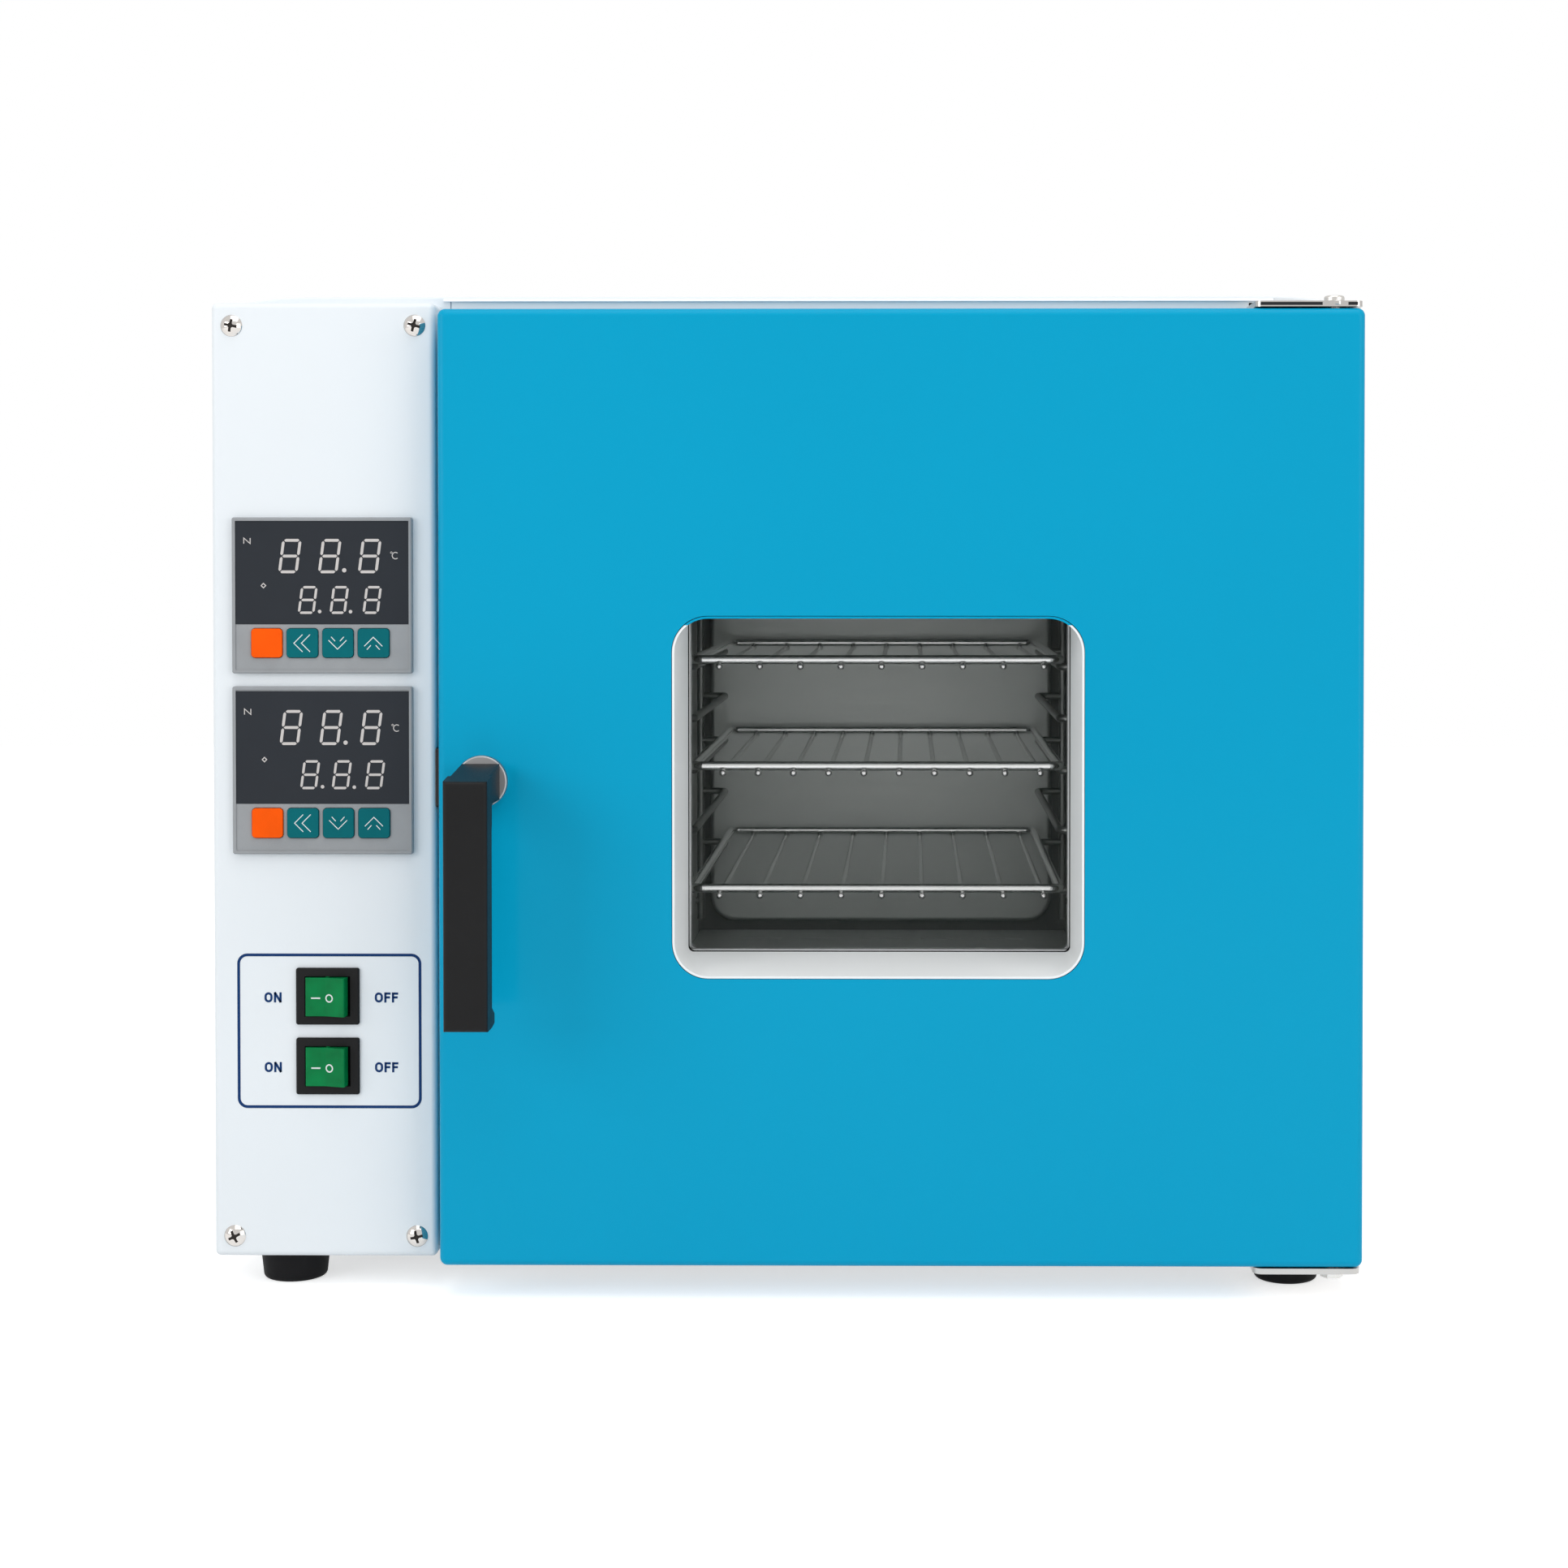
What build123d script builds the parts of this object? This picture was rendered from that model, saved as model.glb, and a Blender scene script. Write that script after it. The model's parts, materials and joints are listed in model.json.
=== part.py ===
from build123d import *
import os
from math import cos, radians, sin

# Bench drying oven: control compartment on the left, heated chamber behind a hinged door on the right.
# Millimetres. X to the right, Y to the back, Z up; the origin is on the ground below the middle of the oven.

# Case
case_half_width = 307.5
case_bottom = 18.0
case_top = 534.5
case_front = -175.0
case_rear = 240.0
sheet = 1.5
front_flange = 10.0
rear_flange_width = 18.0
corner_width = 48.0
corner_height = 10.0
corner_least = (6.0, 2.0)
fit_gap = 0.3

# Control fascia, a folded tray in front of the case
fascia_front = -199.0
fascia_right = -188.0
fascia_top = 529.2
fascia_edge_radius = 3.0
fascia_screw_x = (-296.6, -198.5)
fascia_screw_z = (29.0, 517.0)
fascia_screw_radius = 5.4

# Door
door_left = -183.0
door_right = 304.5
door_bottom = 18.6
door_top = 524.0
door_front = -221.0
door_rear = -181.0
door_edge_radius = 4.0

# Window in the door: the opening in the skin, and the smaller sight opening at the glass
window_x = 49.0
window_z = 266.75
window_width = 217.5
window_height = 191.5
window_radius = 19.0
sight_width = 208.0
sight_bottom = 178.4
sight_top = 362.0
sight_radius = 3.0
glass_margin = 5.0
glass_thickness = 4.0
glass_gap = 6.0
glass_front = -171.0

# Chamber: the mouth through the front frame, and the wider liner behind it
mouth_x = 47.0
mouth_width = 244.0
mouth_bottom = 141.0
mouth_top = 407.0
mouth_radius = 17.0
collar_depth = 20.0
liner_half_width = 167.0
liner_bottom = 92.0
liner_top = 420.0
liner_front = -150.5
liner_rear = 218.0
liner_corner = 12.0
air_panel_offset = 124.0
air_panel_length = 320.0
baffle_width = 232.0
baffle_x = 46.0
baffle_bottom = 146.5
baffle_top = 405.0
baffle_front = 187.0

# Wire shelves and the racks that carry them
shelf_levels = {"top_shelf": 336.7, "middle_shelf": 277.6, "lower_shelf": 209.5}
shelf_wires = {"top_shelf": 9, "middle_shelf": 10, "lower_shelf": 9}
spare_levels = (243.5, 307.0)
shelf_width = 209.0
shelf_front = -143.0
shelf_length = 320.0
shelf_corner = 5.5
shelf_wire_spans = {9: 180.0, 10: 176.0}
shelf_wire_shift = 3.0
shelf_wire_overhang = 4.0
weld_depth = 0.4
frame_rod = 2.5
wire_rod = 1.5
rail_drop = 5.0
post_inset = 3.5
rack_front = -110.0
rack_rear = 150.0

# Door hinges: one upright axis through both brackets
hinge_x = 290.0
hinge_y = -207.0
pin_radius = 3.0
pin_clearance = 0.05
bracket_left = 247.0
bracket_right = 303.5
bracket_front = -219.0
bracket_thickness = 3.0
tang_left = 252.0
tang_right = 288.0

# Handle
hub_x = -159.6
hub_z = 275.4
grip_front = -276.0
grip_thickness = 15.5
grip_width = 22.6
grip_bottom = 152.3
grip_top = 279.4
arm_width = 19.7
arm_height = 18.8
rosette_radius = 13.7
rosette_thickness = 3.5
spindle_radius = 4.0
tongue_reach = 25.9
tongue_y = -196.5
tongue_thickness = 4.0

# Controllers and switches on the fascia
controller_left = -296.0
controller_right = -199.7
controller_z = ((331.3, 414.6), (234.7, 324.4))
display_z = ((357.5, 412.7), (261.6, 321.9))
key_z = ((339.8, 355.3), (243.5, 259.3))
key_x = ((-285.6, -269.1), (-266.7, -250.0), (-247.6, -231.1), (-228.7, -211.9))
key_names = ("mode_key", "shift_key", "down_key", "up_key")
controller_names = ("upper", "lower")
bezel_stand = 3.5
bezel_rim = 1.8
key_stand = 4.1
key_gap = 0.3
key_length = 7.0
key_well = 8.0
controller_body = (-290.0, -204.0)
controller_body_margin = 3.5
controller_body_depth = 85.0
fascia_cut_gap = 0.5
switch_x = -246.0
switch_z = (158.3, 120.8)
switch_flange = (33.9, 30.4)
switch_well = (24.4, 21.6)
rocker_half_length = 11.0
rocker_height = 20.6
rocker_tilt = 10.0
rocker_pivot_y = -199.5

# Feet
foot_x = 271.0
foot_y = (-168.0, 205.0)
foot_top_radius = 18.9
foot_bottom_radius = 16.9
foot_recess = 9.0

# Air circulation at the back
fan_x = 47.0
fan_z = 274.0
shaft_radius = 4.0
impeller_radius = 65.0
impeller_front = 194.0
impeller_depth = 16.0
blade_count = 10
cover_half = 100.0
cover_rear = 276.0
vent_x = 190.0
vent_z = 392.0
vent_outer = 17.0
vent_inner = 15.0
vent_hole_ring = 8.5
vent_hole_radius = 3.8

# Heaters under the floor plate, and the temperature probe
heater_radius = 4.0
heater_z = 116.0
heater_pitch = 64.0
heater_x = (0.0, 94.0)
heater_front = -110.0
heater_end = 230.0
probe_x = 140.0
probe_z = 388.0
probe_radius = 2.5

# Mains inlet on the rear panel
inlet_x = -250.0
inlet_z = 78.0
inlet_blades = ((-7, -2), (7, -2), (0, 2))


# Plain shapes
def slab(x0, x1, y0, y1, z0, z1):
    """A block between six planes."""
    middle = ((x0 + x1) / 2, (y0 + y1) / 2, (z0 + z1) / 2)
    return Pos(*middle) * Box(x1 - x0, y1 - y0, z1 - z0)


def front_plane(x, y, z):
    """A plane that faces the front: its own x is X, its own y is Z."""
    return Plane(origin=(x, y, z), x_dir=(1, 0, 0), z_dir=(0, -1, 0))


def panel(x0, x1, z0, z1, radius, y0, y1):
    """A rounded rectangle seen from the front, between two depths."""
    outline = RectangleRounded(x1 - x0, z1 - z0, radius)
    return extrude(front_plane((x0 + x1) / 2, y1, (z0 + z1) / 2) * outline, y1 - y0)


def disc(x, z, radius, y0, y1):
    """A round piece with its axis along Y."""
    return extrude(front_plane(x, y1, z) * Circle(radius), y1 - y0)


def post(x, y, radius, z0, z1):
    """A round piece with its axis upright."""
    return Pos(x, y, (z0 + z1) / 2) * Cylinder(radius, z1 - z0)


def bent_rod(points, bend, radius):
    """A round rod along straight runs joined by arcs of one bend radius."""
    path = FilletPolyline(*points, radius=bend)
    start = Plane(origin=path @ 0, z_dir=path % 0)
    return sweep(start * Circle(radius), path=path)


def rod(start, end, radius):
    """A straight round rod between two points."""
    run = Vector(*end) - Vector(*start)
    return extrude(Plane(origin=start, z_dir=run) * Circle(radius), run.length)


def joined(pieces):
    """One piece out of many that touch."""
    whole = pieces[0]
    for piece in pieces[1:]:
        whole += piece
    return whole


def save(node, shape):
    """Write one node."""
    solids = shape.solids() if hasattr(shape, "solids") else [shape]
    body = solids[0] if len(solids) == 1 else Compound(children=list(solids))
    export_step(body, f"parts/{node}.step")


# Case
def case_outline(inset):
    """The case seen from the front, with its wide flat-arched top corners, drawn in by an inset."""
    side = case_half_width - inset
    top = case_top - inset
    bottom = case_bottom + inset
    across = max(corner_width - inset, corner_least[0])
    down = max(corner_height - inset, corner_least[1])
    right_corner = EllipticalCenterArc((side - across, top - down), across, down, 0, arc_size=90)
    left_corner = EllipticalCenterArc((across - side, top - down), across, down, 90, arc_size=90)
    sides = [
        Line((-side, bottom), (side, bottom)),
        Line((side, bottom), (side, top - down)),
        Line((side - across, top), (across - side, top)),
        Line((-side, top - down), (-side, bottom)),
    ]
    return make_face(Curve() + sides + [right_corner, left_corner])


def case_slice(inset, y0, y1):
    """A length of the case outline between two depths."""
    return extrude(front_plane(0, y1, 0) * case_outline(inset), y1 - y0)


def rear_screw_places():
    """Where the screws of the rear panel go, as x and z."""
    return [(x, z) for x in (-297, 297) for z in (40, 275, 500)]


def side_slots():
    """Cooling slots through the left side of the case, beside the control compartment."""
    slots = []
    for row in range(6):
        z = 70 + 12 * row
        slots.append(slab(-case_half_width - 2, -case_half_width + 2, -110, -50, z, z + 3.5))
    return joined(slots)


def outer_wrap():
    """Left side, top and right side in one sheet, with narrow flanges turned in at the front and back."""
    tube = case_slice(0, case_front, case_rear) - case_slice(sheet, case_front - 1, case_rear + 1)
    flange = case_slice(0, case_front, case_front + sheet)
    flange -= case_slice(front_flange, case_front - 1, case_front + 2)
    flange -= slab(
        tang_left - 3, tang_right + 3, case_front - 1, case_front + 3, door_top - 1, case_top - 3.5
    )
    rear_face = case_rear - sheet - fit_gap
    rear_flange = case_slice(sheet / 2, rear_face - sheet, rear_face)
    rear_flange -= case_slice(rear_flange_width, rear_face - 3, rear_face + 1)
    floor_cut = slab(
        sheet - case_half_width, case_half_width - sheet, case_front + sheet, case_rear + 1, 0, 40
    )
    wrap = tube + rear_flange - floor_cut + flange
    edge = wrap.faces().sort_by(Axis.Y)[0].outer_wire().edges().filter_by(
        lambda e: e.center().Z > case_bottom + 1
    )
    wrap = fillet(edge, 1.0)
    for x, z in rear_screw_places():
        wrap -= disc(x, z, 1.6, rear_face - 3, case_rear + 1)
    return wrap - side_slots()


def front_frame():
    """The plate round the chamber's mouth, with a collar folded inwards and a window to the controls."""
    plate = case_slice(front_flange + fit_gap, case_front, case_front + sheet)
    half = mouth_width / 2
    collar = panel(
        mouth_x - half - sheet, mouth_x + half + sheet, mouth_bottom - sheet, mouth_top + sheet,
        mouth_radius + sheet, case_front, case_front + collar_depth,
    )
    mouth = panel(
        mouth_x - half, mouth_x + half, mouth_bottom, mouth_top, mouth_radius,
        case_front - 1, case_front + collar_depth + 1,
    )
    controls = panel(-292, -198, 60, 500, 5, case_front - 1, case_front + 3)
    return plate + collar - mouth - controls


def base_pan():
    """The floor of the case, folded up at all four sides."""
    side = case_half_width - sheet - fit_gap
    front = case_front + sheet + fit_gap
    back = case_rear - 2 * sheet - 2 * fit_gap - 0.2
    pan = slab(-side, side, front, back, case_bottom, case_bottom + 20)
    pan -= slab(-side + sheet, side - sheet, front + sheet, back - sheet, case_bottom + sheet, 60)
    for x in (-foot_x, foot_x):
        for y in foot_y:
            pan -= post(x, y, 2.6, 0, 40)
    return pan


def louvre(x, z, y):
    """A pressed cooling louvre that opens downwards, as its hood and the slot behind it."""
    width, height, rise, wall = 44.0, 7.0, 4.0, 1.0
    profile = Polyline((0, 0), (0, height), (rise, 1.0), (rise, 0), close=True)
    hollow = Polyline(
        (-2, -1), (-2, height - 2 * wall), (0, height - 2 * wall), (rise - wall, 1.0 - 0.3), (rise - wall, -1),
        close=True,
    )
    side = Plane(origin=(x - width / 2, y, z), x_dir=(0, 1, 0), z_dir=(1, 0, 0))
    inner = Plane(origin=(x - width / 2 + wall, y, z), x_dir=(0, 1, 0), z_dir=(1, 0, 0))
    return extrude(side * make_face(profile), width), extrude(inner * make_face(hollow), width - 2 * wall)


def rear_panel():
    """The back of the case, with louvres behind the controls and cut-outs for what passes through it."""
    face = case_rear - sheet
    plate = case_slice(sheet + fit_gap, face, case_rear)
    plate -= slab(-400, 400, face - 1, case_rear + 1, 0, case_bottom + fit_gap)
    for row in range(7):
        hood, hollow = louvre(-250, 380 + 13 * row, case_rear)
        plate = plate + hood - hollow
    for x, z in rear_screw_places():
        plate -= disc(x, z, 1.6, face - 1, case_rear + 1)
    plate -= disc(fan_x, fan_z, 20, face - 1, case_rear + 1)
    plate -= disc(vent_x, vent_z, vent_outer + 0.2, face - 1, case_rear + 1)
    plate -= panel(inlet_x - 14.5, inlet_x + 14.5, inlet_z - 10.5, inlet_z + 10.5, 3, face - 1, case_rear + 1)
    return plate


def partition_wall():
    """The wall between the control compartment and the wool."""
    left = fascia_right - 3
    return slab(left, left + sheet, case_front + 5, case_rear - 6, case_bottom + sheet + 0.2, case_top - 2)


def pan_head_screw(x, y, z, radius, height, shank):
    """A domed screw with a cross recess, its head towards the front."""
    sphere = (radius ** 2 + height ** 2) / (2 * height)
    head = Pos(x, y - height + sphere, z) * Sphere(sphere)
    head &= disc(x, z, radius, y - height - 1, y)
    recess = slab(x - 2.4, x + 2.4, y - height - 1, y - height + 1.4, z - 0.6, z + 0.6)
    recess += slab(x - 0.6, x + 0.6, y - height - 1, y - height + 1.4, z - 2.4, z + 2.4)
    return head + disc(x, z, radius * 0.4, y - 0.1, y + shank) - recess


def fascia_screws():
    """Four screws that hold the fascia."""
    screws = []
    for x in fascia_screw_x:
        for z in fascia_screw_z:
            screws.append(pan_head_screw(x, fascia_front, z, fascia_screw_radius, 2.8, 10))
    return Compound(children=screws)


def case_screws():
    """Screws round the rear panel and under the feet."""
    screws = []
    for x, z in rear_screw_places():
        screws.append(Rot(0, 0, 180) * pan_head_screw(-x, -case_rear, z, 3.6, 2.2, 5))
    for x in (-foot_x, foot_x):
        for y in foot_y:
            screws.append(post(x, y, 4.5, foot_recess - 3, foot_recess) + post(x, y, 2.4, foot_recess, 24))
    return Compound(children=screws)


def rubber_feet():
    """Four tapered rubber feet, recessed underneath for their screws."""
    feet = []
    for x in (-foot_x, foot_x):
        for y in foot_y:
            cone = Pos(x, y, case_bottom / 2) * Cone(foot_bottom_radius, foot_top_radius, case_bottom)
            cone = fillet(cone.edges().sort_by(Axis.Z)[0], 2.5)
            foot = cone - post(x, y, 6.5, -1, foot_recess) - post(x, y, 2.6, 0, 19)
            feet.append(foot - lower_bracket_blank())
    return Compound(children=feet)


# Fascia and what it carries
def control_fascia():
    """A folded tray with round edges, cut out for the controllers, the switches and the screws."""
    left = -case_half_width
    tray = slab(left, fascia_right, fascia_front, case_front - 0.2, case_bottom, fascia_top)
    long_edges = tray.edges().filter_by(Axis.Y) + tray.faces().sort_by(Axis.Y)[0].edges()
    tray = fillet(long_edges, fascia_edge_radius)
    tray -= slab(
        left + sheet, fascia_right - sheet, fascia_front + sheet, case_front + 1,
        case_bottom + sheet, fascia_top - sheet,
    )
    for low, high in controller_z:
        margin = controller_body_margin - fascia_cut_gap
        tray -= slab(
            controller_body[0] - fascia_cut_gap, controller_body[1] + fascia_cut_gap,
            fascia_front - 1, fascia_front + 3, low + margin, high - margin,
        )
    for z in switch_z:
        tray -= slab(switch_x - 15, switch_x + 15, fascia_front - 1, fascia_front + 3, z - 13.2, z + 13.2)
    for x in fascia_screw_x:
        for z in fascia_screw_z:
            tray -= disc(x, z, 2.3, fascia_front - 1, fascia_front + 3)
    return tray


def controller_case(number):
    """A grey panel-mounted case with a raised rim, a pocket for the display and four key wells."""
    low, high = controller_z[number]
    display_low, display_high = display_z[number]
    key_low, key_high = key_z[number]
    front = fascia_front - bezel_stand
    bezel = panel(controller_left, controller_right, low, high, 1.2, front, fascia_front)
    bezel = chamfer(bezel.faces().sort_by(Axis.Y)[0].edges(), 0.6)
    body = panel(
        controller_body[0], controller_body[1], low + controller_body_margin, high - controller_body_margin,
        3, fascia_front - 0.5, fascia_front + controller_body_depth,
    )
    case = bezel + body
    case -= panel(
        controller_left + bezel_rim, controller_right - bezel_rim, low + bezel_rim, high - bezel_rim,
        0.8, front - 1, front + 0.5,
    )
    case -= slab(
        controller_left + bezel_rim, controller_right - bezel_rim, front - 1, front + 2.2,
        display_low, display_high,
    )
    for left, right in key_x:
        case -= panel(
            left - key_gap, right + key_gap, key_low - key_gap, key_high + key_gap, 2.3,
            front - 1, fascia_front - key_stand + key_well,
        )
    return case


def display_window(number):
    """The dark window over the digits."""
    low, high = display_z[number]
    front = fascia_front - bezel_stand
    return slab(
        controller_left + bezel_rim + 0.1, controller_right - bezel_rim - 0.1, front + 0.4, front + 2.2,
        low + 0.1, high - 0.1,
    )


def controller_key(number, column):
    """One rounded key cap."""
    left, right = key_x[column]
    low, high = key_z[number]
    front = fascia_front - key_stand
    cap = panel(left, right, low, high, 2.0, front, front + key_length)
    return fillet(cap.faces().sort_by(Axis.Y)[0].edges(), 0.4)


def switch_housing(z):
    """A black snap-in housing with a well for the rocker and bearings for its trunnions."""
    width, height = switch_flange
    well_width, well_height = switch_well
    flange = panel(
        switch_x - width / 2, switch_x + width / 2, z - height / 2, z + height / 2, 1.2,
        fascia_front - 2.0, fascia_front,
    )
    flange = chamfer(flange.faces().sort_by(Axis.Y)[0].edges(), 0.7)
    body = slab(switch_x - 14.6, switch_x + 14.6, fascia_front - 0.5, fascia_front + 22, z - 12.8, z + 12.8)
    well = slab(
        switch_x - well_width / 2, switch_x + well_width / 2, fascia_front - 3, fascia_front + 9,
        z - well_height / 2, z + well_height / 2,
    )
    bearings = post(switch_x, rocker_pivot_y, 1.25, z - 12.2, z + 12.2)
    blades = joined([
        slab(x - 3, x + 3, fascia_front + 21, fascia_front + 30, z - 0.4, z + 0.4)
        for x in (switch_x - 7, switch_x + 7)
    ])
    return flange + body - well - bearings + blades


def rocker(z):
    """A rocker with a shallow hollow face, pressed on the left and raised on the right."""
    outline = Polyline(
        (-rocker_half_length, -5.2), (0, -3.4), (rocker_half_length, -5.2),
        (rocker_half_length - 0.4, 1.5), (4, 4.5), (-4, 4.5), (0.4 - rocker_half_length, 1.5),
        close=True,
    )
    block = extrude(Pos(0, 0, -rocker_height / 2) * make_face(outline), rocker_height)
    ends = block.edges().filter_by(Axis.Z).sort_by(Axis.Y)[:2]
    block = fillet(ends, 0.8)
    block += Cylinder(1.2, rocker_height + 3)
    return Pos(switch_x, rocker_pivot_y, z) * Rot(0, 0, -rocker_tilt) * block


# Chamber
def chamber_liner():
    """The stainless box, closed at the back, with a ring that meets the collar of the mouth."""
    left = mouth_x - liner_half_width
    right = mouth_x + liner_half_width
    outside = panel(
        left - sheet, right + sheet, liner_bottom - sheet, liner_top + sheet, liner_corner + sheet,
        liner_front - sheet, liner_rear + sheet,
    )
    inside = panel(left, right, liner_bottom, liner_top, liner_corner, liner_front, liner_rear)
    half = mouth_width / 2 + sheet + 0.1
    mouth = panel(
        mouth_x - half, mouth_x + half, mouth_bottom - sheet - 0.1, mouth_top + sheet + 0.1,
        mouth_radius + sheet + 0.1, liner_front - 3, liner_front + 1,
    )
    liner = outside - inside - mouth
    liner -= disc(fan_x, fan_z, 7, liner_rear - 1, liner_rear + 3)
    liner -= disc(vent_x, vent_z, vent_outer + 0.2, liner_rear - 1, liner_rear + 3)
    for x in heater_legs():
        liner -= disc(x, heater_z, heater_radius + 0.2, liner_rear - 1, liner_rear + 3)
    liner -= disc(probe_x, probe_z, probe_radius + 0.2, liner_rear - 1, liner_rear + 3)
    return liner


def insulation_jacket():
    """Mineral wool round the liner."""
    front = case_front + sheet + 2
    back = case_rear - sheet - 6
    block = case_slice(3.5, front, back)
    block &= slab(fascia_right - 1, case_half_width, front, back, case_bottom + 4, case_top)
    liner_room = panel(
        mouth_x - liner_half_width - 2, mouth_x + liner_half_width + 2, liner_bottom - 2, liner_top + 2,
        liner_corner + 2, liner_front - 2, liner_rear + 2,
    )
    half = mouth_width / 2 + sheet + 0.5
    collar_room = panel(
        mouth_x - half, mouth_x + half, mouth_bottom - 2, mouth_top + 2, mouth_radius + 2,
        front - 1, liner_front,
    )
    hinge_room = slab(bracket_left - 8, case_half_width, front - 1, -155, door_top - 6, case_top)
    block = block - liner_room - collar_room - hinge_room
    block -= disc(fan_x, fan_z, 9, liner_rear, back + 1)
    block -= disc(vent_x, vent_z, vent_outer + 0.5, liner_rear, back + 1)
    block -= disc(probe_x, probe_z, probe_radius + 0.5, liner_rear, back + 1)
    for x in heater_legs():
        block -= disc(x, heater_z, heater_radius + 0.5, liner_rear, back + 1)
    for x in (-foot_x, foot_x):
        for y in foot_y:
            block -= post(x, y, 6, 0, 40)
    return block


def air_panel(side):
    """One side duct panel, perforated for the air that crosses the shelves. Side is -1 or 1."""
    inner = mouth_x + side * air_panel_offset
    x0, x1 = sorted((inner, inner + side * sheet))
    front = liner_front + 2.5
    plate = slab(x0, x1, front, front + air_panel_length, mouth_bottom, liner_top - 2)
    plate = fillet(plate.edges().filter_by(Axis.X), 6)
    for column in range(5):
        for row in range(6):
            y = front + 50 + 55 * column
            z = mouth_bottom + 45 + 36 * row
            plate -= rod((x0 - 1, y, z), (x1 + 1, y, z), 3.0)
    return plate


def floor_plate():
    """The plate over the heaters, with air slots."""
    half = air_panel_offset - 0.2
    front = liner_front + 2.5
    plate = slab(mouth_x - half, mouth_x + half, front, 184, mouth_bottom - sheet, mouth_bottom)
    for column in range(5):
        x = mouth_x - 80 + 40 * column
        for y in (80, 140):
            plate -= slab(x - 14, x + 14, y, y + 5, mouth_bottom - 5, mouth_bottom + 5)
    return plate


def rear_baffle():
    """A rounded tray in front of the fan. Air returns round its edge and through slots near its top."""
    half = baffle_width / 2
    rim = 5.0
    tray = panel(
        baffle_x - half, baffle_x + half, baffle_bottom, baffle_top, mouth_radius,
        baffle_front, baffle_front + rim,
    )
    tray = fillet(tray.faces().sort_by(Axis.Y)[0].edges(), 3.0)
    tray -= panel(
        baffle_x - half + sheet, baffle_x + half - sheet, baffle_bottom + sheet, baffle_top - sheet,
        mouth_radius - sheet, baffle_front + sheet, baffle_front + rim + 1,
    )
    for column in range(9):
        x = baffle_x - 80 + 20 * column
        tray -= panel(x - 3, x + 3, 372, 396, 2.9, baffle_front - 1, baffle_front + 3)
    tray -= disc(probe_x, probe_z, probe_radius + 0.3, baffle_front - 1, baffle_front + 3)
    for x in (baffle_x - 95, baffle_x + 95):
        for z in (baffle_bottom + 25, baffle_top - 45):
            tray += disc(x, z, 4, baffle_front + 1, liner_rear)
    return tray


def wire_shelf(name):
    """A rod frame with round corners, and thinner wires welded under its front and rear bars."""
    z = shelf_levels[name]
    left = mouth_x - shelf_width / 2 + frame_rod
    right = mouth_x + shelf_width / 2 - frame_rod
    back = shelf_front + shelf_length
    middle = (shelf_front + back) / 2
    outline = Pos(mouth_x, middle, z) * RectangleRounded(right - left, shelf_length, shelf_corner)
    loop = outline.wire()
    start = Plane(origin=loop @ 0, z_dir=loop % 0)
    frame = sweep(start * Circle(frame_rod), path=loop)
    count = shelf_wires[name]
    span = shelf_wire_spans[count]
    drop = z - frame_rod - wire_rod + weld_depth
    ends = (shelf_front - shelf_wire_overhang, back + shelf_wire_overhang)
    wires = []
    for number in range(count):
        x = mouth_x + shelf_wire_shift - span / 2 + span * number / (count - 1)
        wires.append(rod((x, ends[0], drop), (x, ends[1], drop), wire_rod))
    return joined([frame] + wires)


def rack_side(side):
    """One side rack: two posts pegged to the duct panel, and a bent rail for each level."""
    wall = mouth_x + side * air_panel_offset
    post_x = wall - side * post_inset
    rail_x = mouth_x + side * (shelf_width / 2 - 0.5)
    pieces = []
    for y in (rack_front, rack_rear):
        pieces.append(post(post_x, y, frame_rod, mouth_bottom + 12, 392))
        for z in (mouth_bottom + 24, 380):
            pieces.append(rod((wall, y, z), (post_x, y, z), 2.0))
    for level in list(shelf_levels.values()) + list(spare_levels):
        z = level - rail_drop
        corners = [
            (post_x, rack_front, z), (rail_x, rack_front, z), (rail_x, rack_rear, z), (post_x, rack_rear, z),
        ]
        pieces.append(bent_rod(corners, 6.0, frame_rod - 0.3))
    return joined(pieces)


# Heating, sensing and circulation

def heater_legs():
    """Where the heaters' legs pass the back wall."""
    return [x + side * heater_pitch / 2 for x in heater_x for side in (-1, 1)]


def heater_elements():
    """Two hairpin heating tubes under the floor plate."""
    tubes = []
    for x in heater_x:
        left = x - heater_pitch / 2
        right = x + heater_pitch / 2
        runs = [
            (left, heater_end, heater_z), (left, heater_front, heater_z),
            (right, heater_front, heater_z), (right, heater_end, heater_z),
        ]
        tubes.append(bent_rod(runs, 20, heater_radius))
    return Compound(children=tubes)


def temperature_probe():
    """A closed tube through the back wall, with a collar in front of the baffle."""
    return disc(probe_x, probe_z, probe_radius, 115, 230) + disc(probe_x, probe_z, 6, 180, 186.5)


def fan_shaft():
    """The motor's shaft."""
    shaft = disc(fan_x, fan_z, shaft_radius, 191, 258)
    return shaft + disc(fan_x, fan_z, 7, 191, 193.5)


def fan_impeller():
    """A centrifugal wheel: back plate, hub and blades that lean back."""
    back = impeller_front + impeller_depth
    wheel = disc(fan_x, fan_z, impeller_radius, back - sheet, back)
    wheel += disc(fan_x, fan_z, 10, impeller_front, back)
    inner, outer, lean = 26.0, 62.0, 34.0
    for number in range(blade_count):
        turn = 360.0 * number / blade_count
        mid_radius = (inner + outer) / 2
        start = (inner * cos(radians(turn)), inner * sin(radians(turn)))
        middle = (mid_radius * cos(radians(turn - lean * 0.35)), mid_radius * sin(radians(turn - lean * 0.35)))
        end = (outer * cos(radians(turn - lean)), outer * sin(radians(turn - lean)))
        curve = ThreePointArc(start, middle, end)
        blade = trace(curve, 1.5)
        wheel += extrude(front_plane(fan_x, back - 1, fan_z) * blade, impeller_depth - 1)
    return wheel - disc(fan_x, fan_z, shaft_radius, impeller_front - 1, back + 1)


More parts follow.
